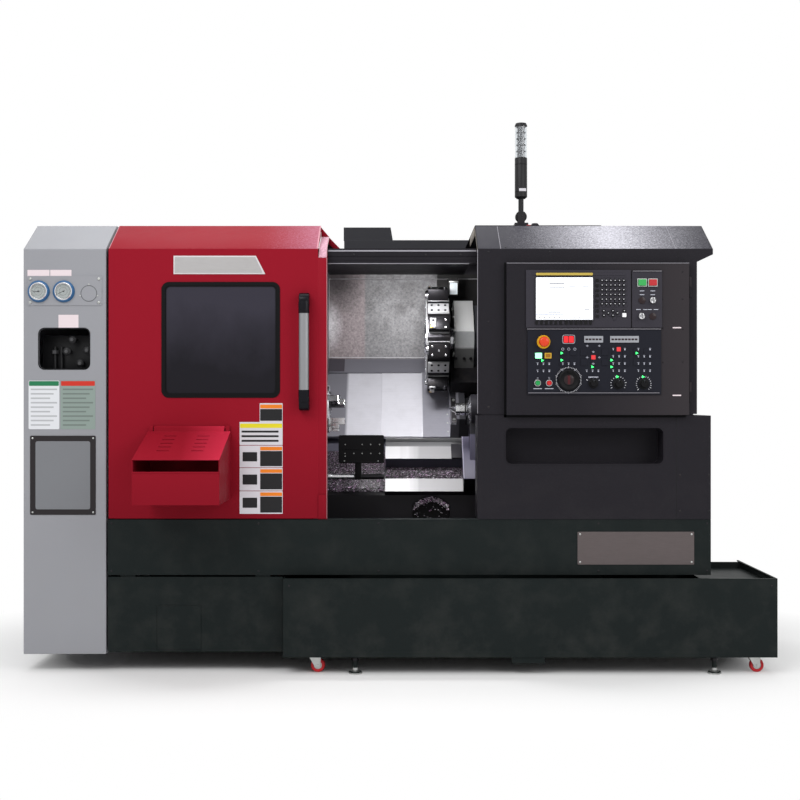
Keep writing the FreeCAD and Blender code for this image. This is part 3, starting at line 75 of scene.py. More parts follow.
# ---- places that the covers share, from the frame ----
COVER_X0, _, COVER_FRONT, _, _, ROOF_Z = cad("left_end_cover")
COVER_X1 = cad("roof_cover")[0]
DOOR_X0, DOOR_X1, _, _, DOOR_Z0, _ = cad("sliding_door")
LIP = 36.0                  # width of the door's closing lip
_, _, SPINDLE_Y0, SPINDLE_Y1, SPINDLE_Z0, SPINDLE_Z1 = cad("chuck_body")
SPINDLE_Y = (SPINDLE_Y0 + SPINDLE_Y1) / 2
SPINDLE_Z = (SPINDLE_Z0 + SPINDLE_Z1) / 2
EAVE_Z = 1692.0
ROOF_TOP = 1703.0           # top of the roof sheet behind the eave
BROW_DEPTH = 192.0
WAY_TOP = -0.260 + (SPINDLE_Z - SPINDLE_Y) * MM * math.cos(SLOPE)   # height of the ways square to the slant


# ---------------------------------------------------------------- user settings
def colour_prop(name, description, value):
    return FloatVectorProperty(name=name, description=description, default=value, size=3, min=0, max=1,
                               subtype="COLOR")


def length_prop(name, description, value):
    return FloatProperty(name=name, description=description, default=value * MM, min=0, unit="LENGTH",
                         subtype="DISTANCE")


class LatheFinish(bpy.types.PropertyGroup):
    """Colours of the covers, castings and controls."""
    end_cover: colour_prop("End cover", "Paint of the left end cover", colour(145, 146, 151))
    door: colour_prop("Door", "Paint of the sliding door and parts box", colour(140, 23, 38))
    right_cover: colour_prop("Right cover", "Textured paint of the upper right cover", colour(31, 29, 34))
    lower_cover: colour_prop("Lower covers", "Paint of the tray, tank and lower covers", colour(22, 28, 28))
    casting: colour_prop("Casting", "Paint of the bed and headstock castings", colour(70, 69, 80))
    cabinet: colour_prop("Cabinet", "Paint of the rear cabinet", colour(52, 52, 56))
    glass: colour_prop("Window", "Tint of the door window", colour(52, 50, 60))
    screen: colour_prop("Screen", "Glow of the display", colour(244, 247, 252))


class LatheSizes(bpy.types.PropertyGroup):
    """Sizes that change the look of the fine pieces."""
    sheet_edge: length_prop("Sheet edge", "Radius on the folded edges of the covers", 2.0)
    screw_head: length_prop("Cover screw", "Diameter of the small screws in the covers", 9.0)
    peel: FloatProperty(name="Orange peel", description="Strength of the texture in the paint",
                        default=0.25, min=0, max=1, subtype="FACTOR")
    chips: IntProperty(name="Chips", description="Number of turned chips in the tray", default=240, min=0, max=600)
    show_cover_screws: BoolProperty(name="Cover screws", description="Adds the small screws to the covers",
                                    default=True)


def finish_settings():
    return bpy.context.scene.lathe_finish


def size_settings():
    return bpy.context.scene.lathe_sizes


# ---------------------------------------------------------------- shader helpers
FLOAT, COLOR = "NodeSocketFloat", "NodeSocketColor"


def link(tree, source, target):
    tree.links.new(source, target)


def feed(tree, node, values):
    """Gives a node's inputs, by name or number, their values: a number, a colour, a vector or a socket."""
    for key, value in values.items():
        socket = node.inputs[key]
        if isinstance(value, bpy.types.NodeSocket):
            link(tree, value, socket)
        elif socket.type == "RGBA":
            socket.default_value = (*value[:3], 1.0)
        else:
            socket.default_value = value


def new_node(tree, kind, values, **settings):
    """Adds a node with its settings and the values of its inputs."""
    made = tree.nodes.new("ShaderNode" + kind)
    for key, value in settings.items():
        setattr(made, key, value)
    feed(tree, made, values)
    return made


def noise(tree, vector, scale, detail=3.0, rough=0.55):
    made = new_node(tree, "TexNoise",
                    {"Vector": vector, "Scale": scale, "Detail": detail, "Roughness": rough})
    return made.outputs["Fac"]


def math_node(tree, operation, *values):
    return new_node(tree, "Math", dict(enumerate(values)), operation=operation).outputs[0]


def vector_math(tree, operation, values, output="Vector"):
    return new_node(tree, "VectorMath", values, operation=operation).outputs[output]


def about(tree, value, reach, middle):
    """Lets a 0 to 1 value swing by its reach about a middle."""
    return math_node(tree, "MULTIPLY_ADD", math_node(tree, "SUBTRACT", value, 0.5), reach, middle)


def spread(tree, value, low, high, to_low=0.0, to_high=1.0):
    """Stretches a value from one range to another and clamps it."""
    return new_node(tree, "MapRange", {"Value": value, "From Min": low, "From Max": high, "To Min": to_low,
                                       "To Max": to_high}).outputs["Result"]


def mixed(tree, factor, first, second, blend="MIX"):
    """Mixes two colours; each may be a socket or a plain colour."""
    return new_node(tree, "Mix", {0: factor, 6: first, 7: second}, data_type="RGBA",
                    blend_type=blend).outputs[2]


def object_place(tree):
    """Object coordinates in metres."""
    return tree.nodes.new("ShaderNodeTexCoord").outputs["Object"]


def axes(tree, vector):
    """The X, Y and Z of a vector."""
    return new_node(tree, "SeparateXYZ", {0: vector}).outputs


def stretched(tree, vector, stretch):
    return new_node(tree, "Mapping", {"Vector": vector, "Scale": stretch}).outputs["Vector"]


# ---------------------------------------------------------------- shared effects
def start_group(name, **values):
    """Node group with a colour and named values in; returns it, its inputs' sockets and its end node."""
    group = bpy.data.node_groups.new(name, "ShaderNodeTree")
    group.interface.new_socket(name="Colour", in_out="INPUT", socket_type=COLOR)
    for key, value in values.items():
        made = group.interface.new_socket(name=key.replace("_", " "), in_out="INPUT", socket_type=FLOAT)
        made.default_value = value
    for label, kind in (("Colour", COLOR), ("Roughness", FLOAT), ("Height", FLOAT)):
        group.interface.new_socket(name=label, in_out="OUTPUT", socket_type=kind)
    return group, group.nodes.new("NodeGroupInput").outputs, group.nodes.new("NodeGroupOutput")


def toned(group, source, value, label):
    """The group's colour made darker and lighter by a 0 to 1 value, as far as the labelled input says."""
    return vector_math(group, "SCALE",
                       {0: source["Colour"], "Scale": about(group, value, source[label], 1.0)})


def paint_group():
    """Sprayed paint: slow tone changes, orange peel, fine speckle and a little dust low down."""
    group, source, result = start_group("Sprayed paint", Tone=0.08, Peel_scale=350.0, Speckle=0.0, Gloss=0.4,
                                        Dust=0.1)
    place = object_place(group)
    fleck = spread(group, noise(group, place, 900.0, 2.0), 0.62, 0.72)
    flecked = mixed(group, math_node(group, "MULTIPLY", fleck, source["Speckle"]),
                    toned(group, source, noise(group, place, 1.7), "Tone"), (0.85, 0.85, 0.88))
    low = spread(group, axes(group, place)["Z"], 0.0, 0.9, 1.0, 0.0)
    cloud = spread(group, noise(group, place, 9.0, 5.0, 0.65), 0.45, 0.75)
    dust = math_node(group, "MULTIPLY", math_node(group, "MULTIPLY", low, cloud), source["Dust"])
    smear = about(group, noise(group, place, 12.0, 4.0), 0.16, source["Gloss"])
    feed(group, result, {"Colour": mixed(group, dust, flecked, colour(150, 146, 140)),
                         "Roughness": math_node(group, "MULTIPLY_ADD", dust, 0.4, smear),
                         "Height": noise(group, place, source["Peel scale"], 2.0)})
    return group


def grain_group():
    """Machined or brushed metal: streaks along one way, faint stains and fine scratches."""
    group, source, result = start_group("Metal grain", Across=600.0, Along=20.0, Streak=0.25, Stain=0.2, Gloss=0.3)
    place = object_place(group)
    parts = axes(group, place)
    pulled = {axis: math_node(group, "MULTIPLY", parts[axis], source[way])
              for axis, way in (("X", "Along"), ("Y", "Across"), ("Z", "Across"))}
    streak = noise(group, new_node(group, "CombineXYZ", pulled).outputs["Vector"], 1.0, 4.0, 0.6)
    stain = spread(group, noise(group, place, 14.0, 5.0, 0.6), 0.45, 0.8)
    stained = mixed(group, math_node(group, "MULTIPLY", stain, source["Stain"]),
                    toned(group, source, streak, "Streak"), colour(84, 78, 74))
    rough = about(group, streak, 0.3, source["Gloss"])
    feed(group, result, {"Colour": stained, "Roughness": math_node(group, "MULTIPLY_ADD", stain, 0.12, rough),
                         "Height": streak})
    return group


def grit_group():
    """Rough cast or moulded surface: two sizes of bump with a slight change of tone."""
    group, source, result = start_group("Cast grit", Coarse=60.0, Fine=500.0, Tone=0.15, Gloss=0.55)
    place = object_place(group)
    coarse = noise(group, place, source["Coarse"], 4.0, 0.6)
    fine = noise(group, place, source["Fine"], 2.0)
    feed(group, result, {"Colour": toned(group, source, coarse, "Tone"),
                         "Roughness": about(group, fine, 0.25, source["Gloss"]),
                         "Height": math_node(group, "MULTIPLY_ADD", fine, 0.4, coarse)})
    return group


EFFECTS = {"paint": paint_group, "grain": grain_group, "grit": grit_group}


def effect(name):
    """The shared node group of that name, built the first time it is asked for."""
    key = "lathe " + name
    made = bpy.data.node_groups.get(key)
    if made is None:
        made = EFFECTS[name]()
        made.name = key
    return made


# ---------------------------------------------------------------- makers of finishes
def start_material(name):
    material = bpy.data.materials.new(name)
    material.use_nodes = True
    return material, material.node_tree, material.node_tree.nodes["Principled BSDF"]


def surface(name, kind, tint, bump=0.1, metal=0.0, coat=0.0, reach=0.0006, shine=0.22, **values):
    """Material whose colour, gloss and bump come from one of the shared effects."""
    material, tree, shader = start_material(name)
    given = {key.replace("_", " "): value for key, value in values.items()}
    made = new_node(tree, "Group", {}, node_tree=effect(kind))
    feed(tree, made, {"Colour": tuple(tint), **given})
    raised = new_node(tree, "Bump", {"Strength": bump, "Distance": reach, "Height": made.outputs["Height"]})
    feed(tree, shader, {"Base Color": made.outputs["Colour"], "Roughness": made.outputs["Roughness"],
                        "Normal": raised.outputs["Normal"], "Metallic": metal, "Coat Weight": coat,
                        "Coat Roughness": 0.12, "Specular IOR Level": shine})
    return material


def retint(material, factor, tint, blend="MIX"):
    """Mixes a tint over the base colour that a material has by now."""
    tree = material.node_tree
    base = tree.nodes["Principled BSDF"].inputs["Base Color"]
    link(tree, mixed(tree, factor, base.links[0].from_socket, tint, blend), base)


def zoned(material, way, low, high, tint):
    """Gives a material another tint past a plane square to a direction, from low to high metres along it."""
    tree = material.node_tree
    mask = spread(tree, vector_math(tree, "DOT_PRODUCT", {0: object_place(tree), 1: way}, "Value"), low, high)
    retint(material, mask, tint)
    return mask


def soft_patch(material, centre, reach, tint):
    """Soft round patch of another tint about one place, with its own reach along each axis."""
    tree = material.node_tree
    away = vector_math(tree, "SUBTRACT", {0: object_place(tree), 1: centre})
    length = vector_math(tree, "LENGTH", {0: vector_math(tree, "DIVIDE", {0: away, 1: reach})}, "Value")
    retint(material, spread(tree, length, 0.2, 1.0, 0.9, 0.0), tint)


def brow_grain(material, middle, reach, tint):
    """Soft speckled patch of a sloping sheet where the lamps shine back, about a place along X."""
    tree = material.node_tree
    place = object_place(tree)
    away = math_node(tree, "ABSOLUTE", math_node(tree, "SUBTRACT", axes(tree, place)["X"], middle))
    edge = about(tree, noise(tree, place, 170.0, 3.0, 0.7), 0.5 * reach / 0.42, away)
    patch = spread(tree, edge, 0.02, reach, 1.0, 0.0)
    flecks = spread(tree, noise(tree, place, 130.0, 3.0, 0.8), 0.40, 0.60, 0.62, 1.12)
    retint(material, math_node(tree, "MULTIPLY", math_node(tree, "POWER", patch, 1.7), flecks), tint)


def printed(name, tint, gloss=0.45):
    """Printed film: even tone with faint wear and tiny dents."""
    return surface(name, "paint", tint, bump=0.05, Tone=0.06, Peel_scale=200.0, Gloss=gloss, Dust=0.0)


def matt_black(name, tint, gloss=0.5):
    """Black that keeps its depth under the lamps."""
    return surface(name, "paint", tint, bump=0.05, shine=0.12, Tone=0.06, Peel_scale=200.0, Gloss=gloss, Dust=0.0)


def coloured_plastic(name, tint, gloss=0.3):
    return surface(name, "grit", tint, bump=0.08, reach=0.0003, coat=0.2, Coarse=400.0, Fine=1500.0, Tone=0.1,
                   Gloss=gloss)


def glowing(name, tint, strength):
    """Lit lens: the glow changes a little over the surface."""
    material, tree, shader = start_material(name)
    cloud = noise(tree, object_place(tree), 300.0, 2.0)
    lit = mixed(tree, spread(tree, cloud, 0.3, 0.7, 0.0, 0.35), tint, tuple(0.6 * c for c in tint))
    feed(tree, shader, {"Base Color": lit, "Emission Color": lit, "Emission Strength": strength, "Roughness": 0.3})
    return material


def clear_glass(name, tint, rough=0.03):
    material, tree, shader = start_material(name)
    smear = noise(tree, object_place(tree), 40.0, 4.0)
    stained = mixed(tree, spread(tree, smear, 0.4, 0.8, 0.0, 0.2), tint, tuple(0.8 * c for c in tint))
    feed(tree, shader, {"Base Color": stained, "Roughness": spread(tree, smear, 0.3, 0.8, rough, rough + 0.08),
                        "Transmission Weight": 1.0, "IOR": 1.45})
    return material


def ruled(name, tint):
    """Faint print of a film's own tint, a good third darker."""
    return printed(name, tuple(0.62 * part for part in tint))


def chip_steel(name, tint):
    return surface(name, "grain", tint, metal=0.15, Across=900.0, Along=900.0, Streak=0.3, Stain=0.1, Gloss=0.25)


# ---------------------------------------------------------------- finishes with a maker of their own
def door_paint(name):
    """Paint of the door, with painted shade that darkens it low down."""
    tint = tuple(finish_settings().door)
    material = surface(name, "paint", tint, bump=size_settings().peel, **DOOR_COAT)
    zoned(material, DOWN, -0.95, -0.55, tuple(0.72 * part for part in tint))
    return material


def lid_paint(name):
    """Door paint with the lamp's soft patch on the right of the lid."""
    material = surface(name, "paint", finish_settings().door, bump=size_settings().peel, **DOOR_COAT)
    zoned(material, (1, 0, 0.3), -0.56, -0.38, colour(196, 46, 70))
    return material


def stainless(name):
    """Back plate of the work space: satin, warmer near the chuck, with a painted shadow high on the left, a painted
    highlight below it and painted shade on its slanted foot.
    """
    material = surface(name, "grain", colour(124, 123, 125), bump=0.2, metal=0.25, Across=330.0, Along=330.0,
                       Streak=0.9, Stain=0.2, Gloss=0.42)
    zoned(material, LEFTWARD, 0.160, 0.170, colour(140, 130, 132))
    # painted shadow high on the left of the plate, and a painted highlight below it
    soft_patch(material, (-0.30, 0.557, 1.68), (0.16, 9.0, 0.20), colour(48, 42, 45))
    soft_patch(material, (-0.342, 0.557, 1.45), (0.075, 9.0, 0.13), colour(206, 202, 206))
    tree = material.node_tree
    specks = spread(tree, noise(tree, object_place(tree), 105.0, 4.0, 0.75), 0.36, 0.62)
    retint(material, 1.0, mixed(tree, specks, (0.6, 0.6, 0.6), (1.12, 1.12, 1.12)), "MULTIPLY")
    # painted shade on the slanted foot below the fold
    zoned(material, DOWN, -1.2885, -1.2875, colour(122, 121, 129))
    zoned(material, RIGHTWARD, 0.1872, 0.1878, colour(22, 21, 21))
    return material


def bed_casting(name):
    """Painted casting, darker below, whose way tops are ground bright with soft bands across them."""
    material = RECIPES["casting paint"](name)
    tree = material.node_tree
    zoned(material, DOWN, -0.735, -0.70, colour(20, 18, 22))
    place = object_place(tree)
    along = about(tree, noise(tree, stretched(tree, place, (16.0, 0.6, 0.6)), 1.0, 2.0), 0.3, axes(tree, place)["X"])
    ground = mixed(tree, spread(tree, along, 0.0, 0.13), colour(204, 203, 205), colour(160, 159, 161))
    mask = zoned(material, (0, -math.sin(SLOPE), math.cos(SLOPE)), WAY_TOP - 0.0008, WAY_TOP - 0.0004, ground)
    raised = next(n for n in tree.nodes if n.bl_idname == "ShaderNodeBump")
    feed(tree, tree.nodes["Principled BSDF"], {"Metallic": math_node(tree, "MULTIPLY", mask, 0.35)})
    feed(tree, raised, {"Strength": math_node(tree, "MULTIPLY_ADD", mask, -0.2, 0.2)})
    return material


def swarf_bed(name):
    """Fine chips seen as one layer: pale and violet flecks on a dark ground."""
    material = surface(name, "grit", colour(24, 20, 25), bump=0.6, Coarse=260.0, Fine=900.0, Tone=0.5, Gloss=0.4)
    tree = material.node_tree
    place = object_place(tree)
    retint(material, spread(tree, noise(tree, place, 330.0, 2.0, 0.6), 0.60, 0.65), colour(186, 180, 188))
    violet = noise(tree, stretched(tree, place, (1.0, 1.0, 1.3)), 260.0, 2.0, 0.6)
    retint(material, spread(tree, violet, 0.62, 0.66), colour(176, 136, 176))
    return material


def window_glass(name):
    """Dark laminated pane: nearly opaque, glossy, with cloudy smears and a painted reflection that brightens it
    towards the top.
    """
    material, tree, shader = start_material(name)
    place = object_place(tree)
    cloud = noise(tree, stretched(tree, place, (5.0, 5.0, 3.2)), 1.0, 4.0, 0.6)
    tint = tuple(finish_settings().glass)
    # painted reflection: the pane runs from a dark tint low down to its full tint higher up, in cloudy streaks
    high = spread(tree, math_node(tree, "MULTIPLY_ADD", cloud, 0.35, axes(tree, place)["Z"]), 1.36, 1.66)
    feed(tree, shader, {"Base Color": mixed(tree, high, tuple(0.3 * c for c in tint), tint),
                        "Roughness": spread(tree, noise(tree, place, 20.0, 4.0), 0.3, 0.7, 0.10, 0.22),
                        "Coat Weight": 0.03, "Specular IOR Level": 0.1})
    return material


# ---------------------------------------------------------------- the table of finishes
RIGHTWARD, LEFTWARD, RAISED, DOWN = (1, 0, 0), (-1, 0, 0), (0, 0, 1), (0, 0, -1)
DOOR_COAT = dict(shine=0.03, Tone=0.14, Peel_scale=420.0, Speckle=0.01, Gloss=0.44, Dust=0.02)
DARK_COAT = dict(bump=0.5, shine=0.1, Tone=0.12, Peel_scale=620.0, Speckle=0.04, Gloss=0.52, Dust=0.05)
FACE_COAT = dict(shine=0.12, Tone=0.08, Peel_scale=900.0, Gloss=0.5, Dust=0.0)
SLIDE_GRAIN = dict(bump=0.08, Across=420.0, Along=8.0)      # wiped along the bed


def coat(kind, tint, *zones, **values):
    """Recipe of an effect's finish: its tint, which is a setting's name or a colour, and its zones."""
    def make(name):
        shade = tuple(getattr(finish_settings(), tint)) if isinstance(tint, str) else colour(*tint)
        material = surface(name, kind, shade, **values)
        for way, low, high, past in zones:
            zoned(material, way, low, high, colour(*past))
        return material
    return make


def brow(tint, middle, reach, patch, **values):
    """Recipe of a brow's paint with its speckled painted highlight."""
    def make(name):
        material = coat("paint", tint, Dust=0.0, **values)(name)
        brow_grain(material, middle, reach, colour(*patch))
        return material
    return make


def plain(maker, red, green, blue, *values):
    """Recipe of a finish that a maker gives from its tint."""
    return lambda name: maker(name, colour(red, green, blue), *values)


RECIPES = {
    # covers, castings and the work space
    "end cover paint": coat("paint", "end_cover", bump=0.14, Tone=0.12, Peel_scale=520.0, Gloss=0.44, Dust=0.1),
    "door paint": door_paint,
    "lid paint": lid_paint,
    "textured dark paint": coat("paint", "right_cover", **DARK_COAT),
    # painted light: the panel's paint grows lighter towards its right side
    "panel paint": coat("paint", "right_cover", (RIGHTWARD, 0.72, 1.14, (50, 46, 49)), **DARK_COAT),
    "green black paint": coat("paint", "lower_cover", bump=0.3, shine=0.1, Tone=0.10, Peel_scale=560.0,
                              Speckle=0.02, Gloss=0.48, Dust=0.05),
    "cabinet paint": coat("paint", "cabinet", bump=0.3, shine=0.12, Tone=0.12, Peel_scale=560.0, Gloss=0.5, Dust=0.2),
    # the brows' patches are painted highlights where the lamps shine back, and the lip and right brows' lighter base
    # tints are painted highlights too
    "door brow": brow("door", -0.31, 0.27, (172, 104, 124), bump=0.3, shine=0.06, Tone=0.14, Peel_scale=420.0,
                      Speckle=0.04, Gloss=0.44),
    "lip brow": brow((150, 84, 104), DOOR_X1 * MM, 0.3, (214, 172, 188), bump=0.4, shine=0.06, Tone=0.3,
                     Peel_scale=300.0, Speckle=0.1, Gloss=0.44),
    "right brow": brow((52, 51, 58), 0.86, 0.42, (200, 199, 208), bump=0.5, shine=0.1, Tone=0.2,
                       Peel_scale=620.0, Speckle=0.1, Gloss=0.5),
    # pale pink strips painted as highlights on the door brow's edges
    "brow edge": coat("paint", (196, 132, 146), bump=0.2, Tone=0.1, Peel_scale=420.0, Gloss=0.4, Dust=0.0),
    "casting paint": coat("grit", "casting", bump=0.5, reach=0.0015, Coarse=45.0, Fine=380.0, Tone=0.25, Gloss=0.5),
    "bed casting": bed_casting,
    # painted light and shade: lighter on the housing's top facet and darker on its lower facet
    "housing paint": coat("grit", (110, 111, 112), (RAISED, 1.400, 1.402, (160, 160, 160)),
                          (DOWN, -1.328, -1.326, (76, 76, 76)), (RIGHTWARD, 0.3440, 0.3446, (52, 52, 56)),
                          bump=0.35, reach=0.001, Coarse=70.0, Fine=420.0, Tone=0.2, Gloss=0.45),
    "tailstock casting": coat("paint", (84, 81, 98), (DOWN, -0.745, -0.743, (10, 9, 11)),
                              (RAISED, 0.935, 0.94, (34, 33, 38)), bump=0.2, Tone=0.12, Peel_scale=260.0,
                              Speckle=0.02, Gloss=0.44, Dust=0.04),
    "swarf bed": swarf_bed,
    "stainless sheet": stainless,
    "cover steel": coat("grain", (214, 213, 220), metal=0.25, Streak=0.16, Stain=0.12, Gloss=0.36, **SLIDE_GRAIN),
    # bright where it lies as a way cover, with painted shade near the chuck where the chuck shadows it
    "guard steel": coat("grain", (204, 203, 210), (LEFTWARD, 0.236, 0.250, (120, 119, 126)), metal=0.25,
                        Streak=0.16, Stain=0.12, Gloss=0.38, **SLIDE_GRAIN),
    # wiped on the saddle's cover plate, darker to the right of it and near black further right
    "dark cover steel": coat("grain", (150, 149, 158), (RIGHTWARD, 0.2352, 0.2356, (88, 87, 93)),
                             (RIGHTWARD, 0.272, 0.276, (44, 44, 48)), metal=0.3, Streak=0.2, Stain=0.2,
                             Gloss=0.4, **SLIDE_GRAIN),
    "flat steel": coat("grain", (112, 112, 114), metal=0.25, Streak=0.2, Stain=0.2, Gloss=0.36, **SLIDE_GRAIN),
    # steels
    "pale steel": coat("grain", (186, 186, 188), metal=0.15, Across=500.0, Along=60.0, Streak=0.4, Stain=0.2,
                       Gloss=0.34),
    "ground steel": coat("grain", (206, 206, 208), bump=0.05, metal=1.0, Across=700.0, Along=40.0, Streak=0.22,
                         Stain=0.1, Gloss=0.2),
    "blackened steel": coat("grain", (40, 39, 42), metal=0.75, Across=300.0, Along=120.0, Streak=0.4,
                            Stain=0.25, Gloss=0.36),
    "turned steel": coat("grain", (190, 190, 194), bump=0.06, metal=1.0, Across=60.0, Along=900.0, Streak=0.25,
                         Stain=0.1, Gloss=0.22),
    "zinc": coat("grain", (186, 188, 186), metal=0.9, Across=160.0, Along=160.0, Streak=0.25, Stain=0.3, Gloss=0.34),
    # zinc darkened as painted shade, for the unions in the dark behind the hatch
    "dull zinc": coat("grain", (74, 74, 76), metal=0.3, Across=300.0, Along=300.0, Streak=0.6, Gloss=0.4),
    "brushed grip": coat("grain", (139, 140, 143), bump=0.06, metal=0.9, Across=900.0, Along=900.0,
                         Streak=0.15, Stain=0.06, Gloss=0.42),
    "strip face": coat("grain", (168, 166, 166), bump=0.05, metal=0.4, Across=300.0, Along=30.0, Streak=0.14,
                       Stain=0.08, Gloss=0.4),
    "strip steel": coat("grain", (150, 152, 158), bump=0.05, metal=0.7, Across=200.0, Along=40.0, Streak=0.2,
                        Stain=0.1, Gloss=0.4),
    "badge steel": coat("grain", (92, 84, 84), bump=0.06, metal=0.3, Across=260.0, Along=24.0, Streak=0.3,
                        Stain=0.15, Gloss=0.4),
    "foot shade": coat("grain", (76, 72, 79), metal=0.2, Across=300.0, Along=30.0, Streak=0.2, Gloss=0.4),
    "gold insert": coat("grit", (176, 140, 60), bump=0.05, metal=0.8, Coarse=400.0, Fine=1500.0, Tone=0.1, Gloss=0.3),
    "chip silver": plain(chip_steel, 222, 216, 226),
    "chip violet": plain(chip_steel, 206, 168, 206),
    "chip dark": plain(chip_steel, 60, 54, 62),
    # glass and lights
    "window glass": window_glass,
    "clear lens": plain(clear_glass, 235, 238, 240),
    "dial glass": plain(clear_glass, 240, 244, 246, 0.02),
    "screen glow": lambda name: glowing(name, tuple(finish_settings().screen), 0.9),
    "readout red": plain(glowing, 226, 22, 30, 0.7),
    "lit green": plain(glowing, 150, 255, 190, 1.4),
    "lit red": plain(glowing, 206, 44, 48, 0.35),
    "lamp green": plain(glowing, 60, 255, 120, 2.0),
    "lamp pane": plain(glowing, 214, 222, 226, 0.35),
    "power_on_button cap": plain(glowing, 40, 160, 74, 0.1),
    "power_off_button cap": plain(glowing, 178, 18, 28, 0.1),
    # plastic and rubber
    "black plastic": coat("grit", (26, 26, 28), bump=0.2, reach=0.0004, Coarse=300.0, Fine=1400.0, Tone=0.15,
                          Gloss=0.42),
    "key plastic": coat("grit", (34, 34, 38), bump=0.2, reach=0.0003, Coarse=500.0, Fine=1800.0, Tone=0.15,
                        Gloss=0.4),
    "rubber": coat("grit", (12, 12, 14), bump=0.3, shine=0.1, Coarse=220.0, Fine=1200.0, Tone=0.2, Gloss=0.6),
    "red plastic": plain(coloured_plastic, 200, 40, 30),
    "green plastic": plain(coloured_plastic, 30, 150, 70),
    "red tread": plain(coloured_plastic, 190, 28, 36, 0.45),
    "blue rim": plain(coloured_plastic, 44, 92, 136, 0.35),
    "bezel": plain(coloured_plastic, 38, 37, 42, 0.4),
    "gold bar": plain(coloured_plastic, 188, 164, 74, 0.4),
    "cap white": plain(coloured_plastic, 236, 236, 238, 0.4),
    "readout black": plain(coloured_plastic, 30, 12, 16),
    "key amber": plain(coloured_plastic, 198, 158, 44, 0.4),
    "key amber deep": plain(coloured_plastic, 150, 100, 20),
    "stop red": plain(coloured_plastic, 214, 62, 26),
    "stop amber": plain(coloured_plastic, 222, 164, 30, 0.35),
    "start_button cap": plain(coloured_plastic, 24, 150, 74),
    "hold_button cap": plain(coloured_plastic, 196, 24, 30),
    "collar pale": plain(coloured_plastic, 196, 200, 198, 0.35),
    # control faces, films and inks
    "face sheet": coat("paint", (28, 29, 37), bump=0.12, **{**FACE_COAT, "shine": 0.1}),
    "display frame": coat("paint", (52, 50, 57), bump=0.14, **FACE_COAT),
    # dark joints, and painted shade inside the vent and grille slots
    "dark seam": plain(printed, 24, 24, 26, 0.7),
    "left film rule": plain(ruled, 216, 218, 222),
    "right film rule": plain(ruled, 136, 150, 144),
    "soft key": plain(printed, 5, 5, 6, 0.6),
    "cap black": plain(printed, 6, 6, 7, 0.6),
    "edge strip": plain(printed, 112, 110, 116, 0.35),
    # matt blacks
    "handle plastic": plain(matt_black, 16, 15, 21, 0.25),
    "knob black": plain(matt_black, 14, 14, 16),
    "wiper block": plain(matt_black, 46, 45, 49),
    "catcher black": plain(matt_black, 9, 8, 10, 0.6),
    "gap black": plain(matt_black, 8, 8, 10, 0.8),
}

# films and inks that are printed in one tint; the lip, sheet and tailstock edge highlights are pale lines painted
# where those edges catch the light
FILMS = {
    "pale film": (222, 208, 212), "seam shade": (96, 98, 102), "dial": (206, 206, 202),
    "dial ink": (30, 30, 32), "dial white": (226, 226, 232), "plate edge": (36, 32, 34),
    "plate field": (118, 120, 124), "strip rim": (206, 202, 204), "left film": (216, 218, 222),
    "left film head": (38, 116, 78), "right film": (136, 150, 144), "right film head": (196, 52, 40),
    "field pale": (206, 204, 210), "field dark": (28, 28, 30), "field amber": (226, 124, 34),
    "field yellow": (220, 206, 40), "lip edge": (190, 150, 156), "page grey": (168, 170, 176),
    "page blue": (112, 118, 186), "cap ink": (206, 206, 212), "face ink": (176, 178, 190),
    "readout rim": (150, 146, 152), "hub plate": (70, 18, 24), "sheet edge": (186, 183, 188),
    "tailstock edge": (168, 164, 182), "seam bead": (150, 148, 156), "inner sheet": (138, 130, 120),
    "lens core": (150, 150, 152),
}
RECIPES.update({film: plain(printed, *tint) for film, tint in FILMS.items()})

# material slot of the record: its finish
SLOT_FINISHES = {
    "grey_paint": "end cover paint", "crimson_paint": "door paint", "charcoal_paint": "textured dark paint",
    "green_black_paint": "green black paint", "bed_casting": "casting paint",
    "housing_casting": "housing paint", "stainless": "stainless sheet", "cover_steel": "cover steel",
    "ground_steel": "ground steel", "black_steel": "blackened steel", "chuck_steel": "turned steel",
    "zinc_plate": "zinc", "silver_grip": "brushed grip", "tinted_glass": "window glass",
    "black_plastic": "black plastic", "key_plastic": "key plastic", "red_plastic": "red plastic",
    "green_plastic": "green plastic", "red_tread": "red tread", "clear_lens": "clear lens",
    "cabinet_paint": "cabinet paint",
}
FINISHES = {}


def finish_of(name):
    """The material of a slot or a finish, made once."""
    label = SLOT_FINISHES.get(name, name)
    if label not in FINISHES:
        FINISHES[label] = RECIPES[label](label)
    return FINISHES[label]


# ---------------------------------------------------------------- modelling helpers, all in millimetres
SLANT = Matrix(((1, 0, 0, 0),
                (0, math.cos(SLOPE), -math.sin(SLOPE), SPINDLE_Y),
                (0, math.sin(SLOPE), math.cos(SLOPE), SPINDLE_Z),
                (0, 0, 0, 1)))
TO_FRONT = Matrix.Rotation(math.radians(90), 4, "X")      # local +Z turns to -Y, out of the front
TO_BACK = Matrix.Rotation(math.radians(-90), 4, "X")
TO_RIGHT = Matrix.Rotation(math.radians(90), 4, "Y")      # local +Z turns to +X
UP = Matrix.Identity(4)
HALF_TURN = Matrix.Rotation(math.pi, 4, "X")


def at(x, y, z, turn=UP):
    return Matrix.Translation((x, y, z)) @ turn


def facing(x, y, z):
    """Place of a body whose local Z looks out of the front."""
    return at(x, y, z, TO_FRONT)


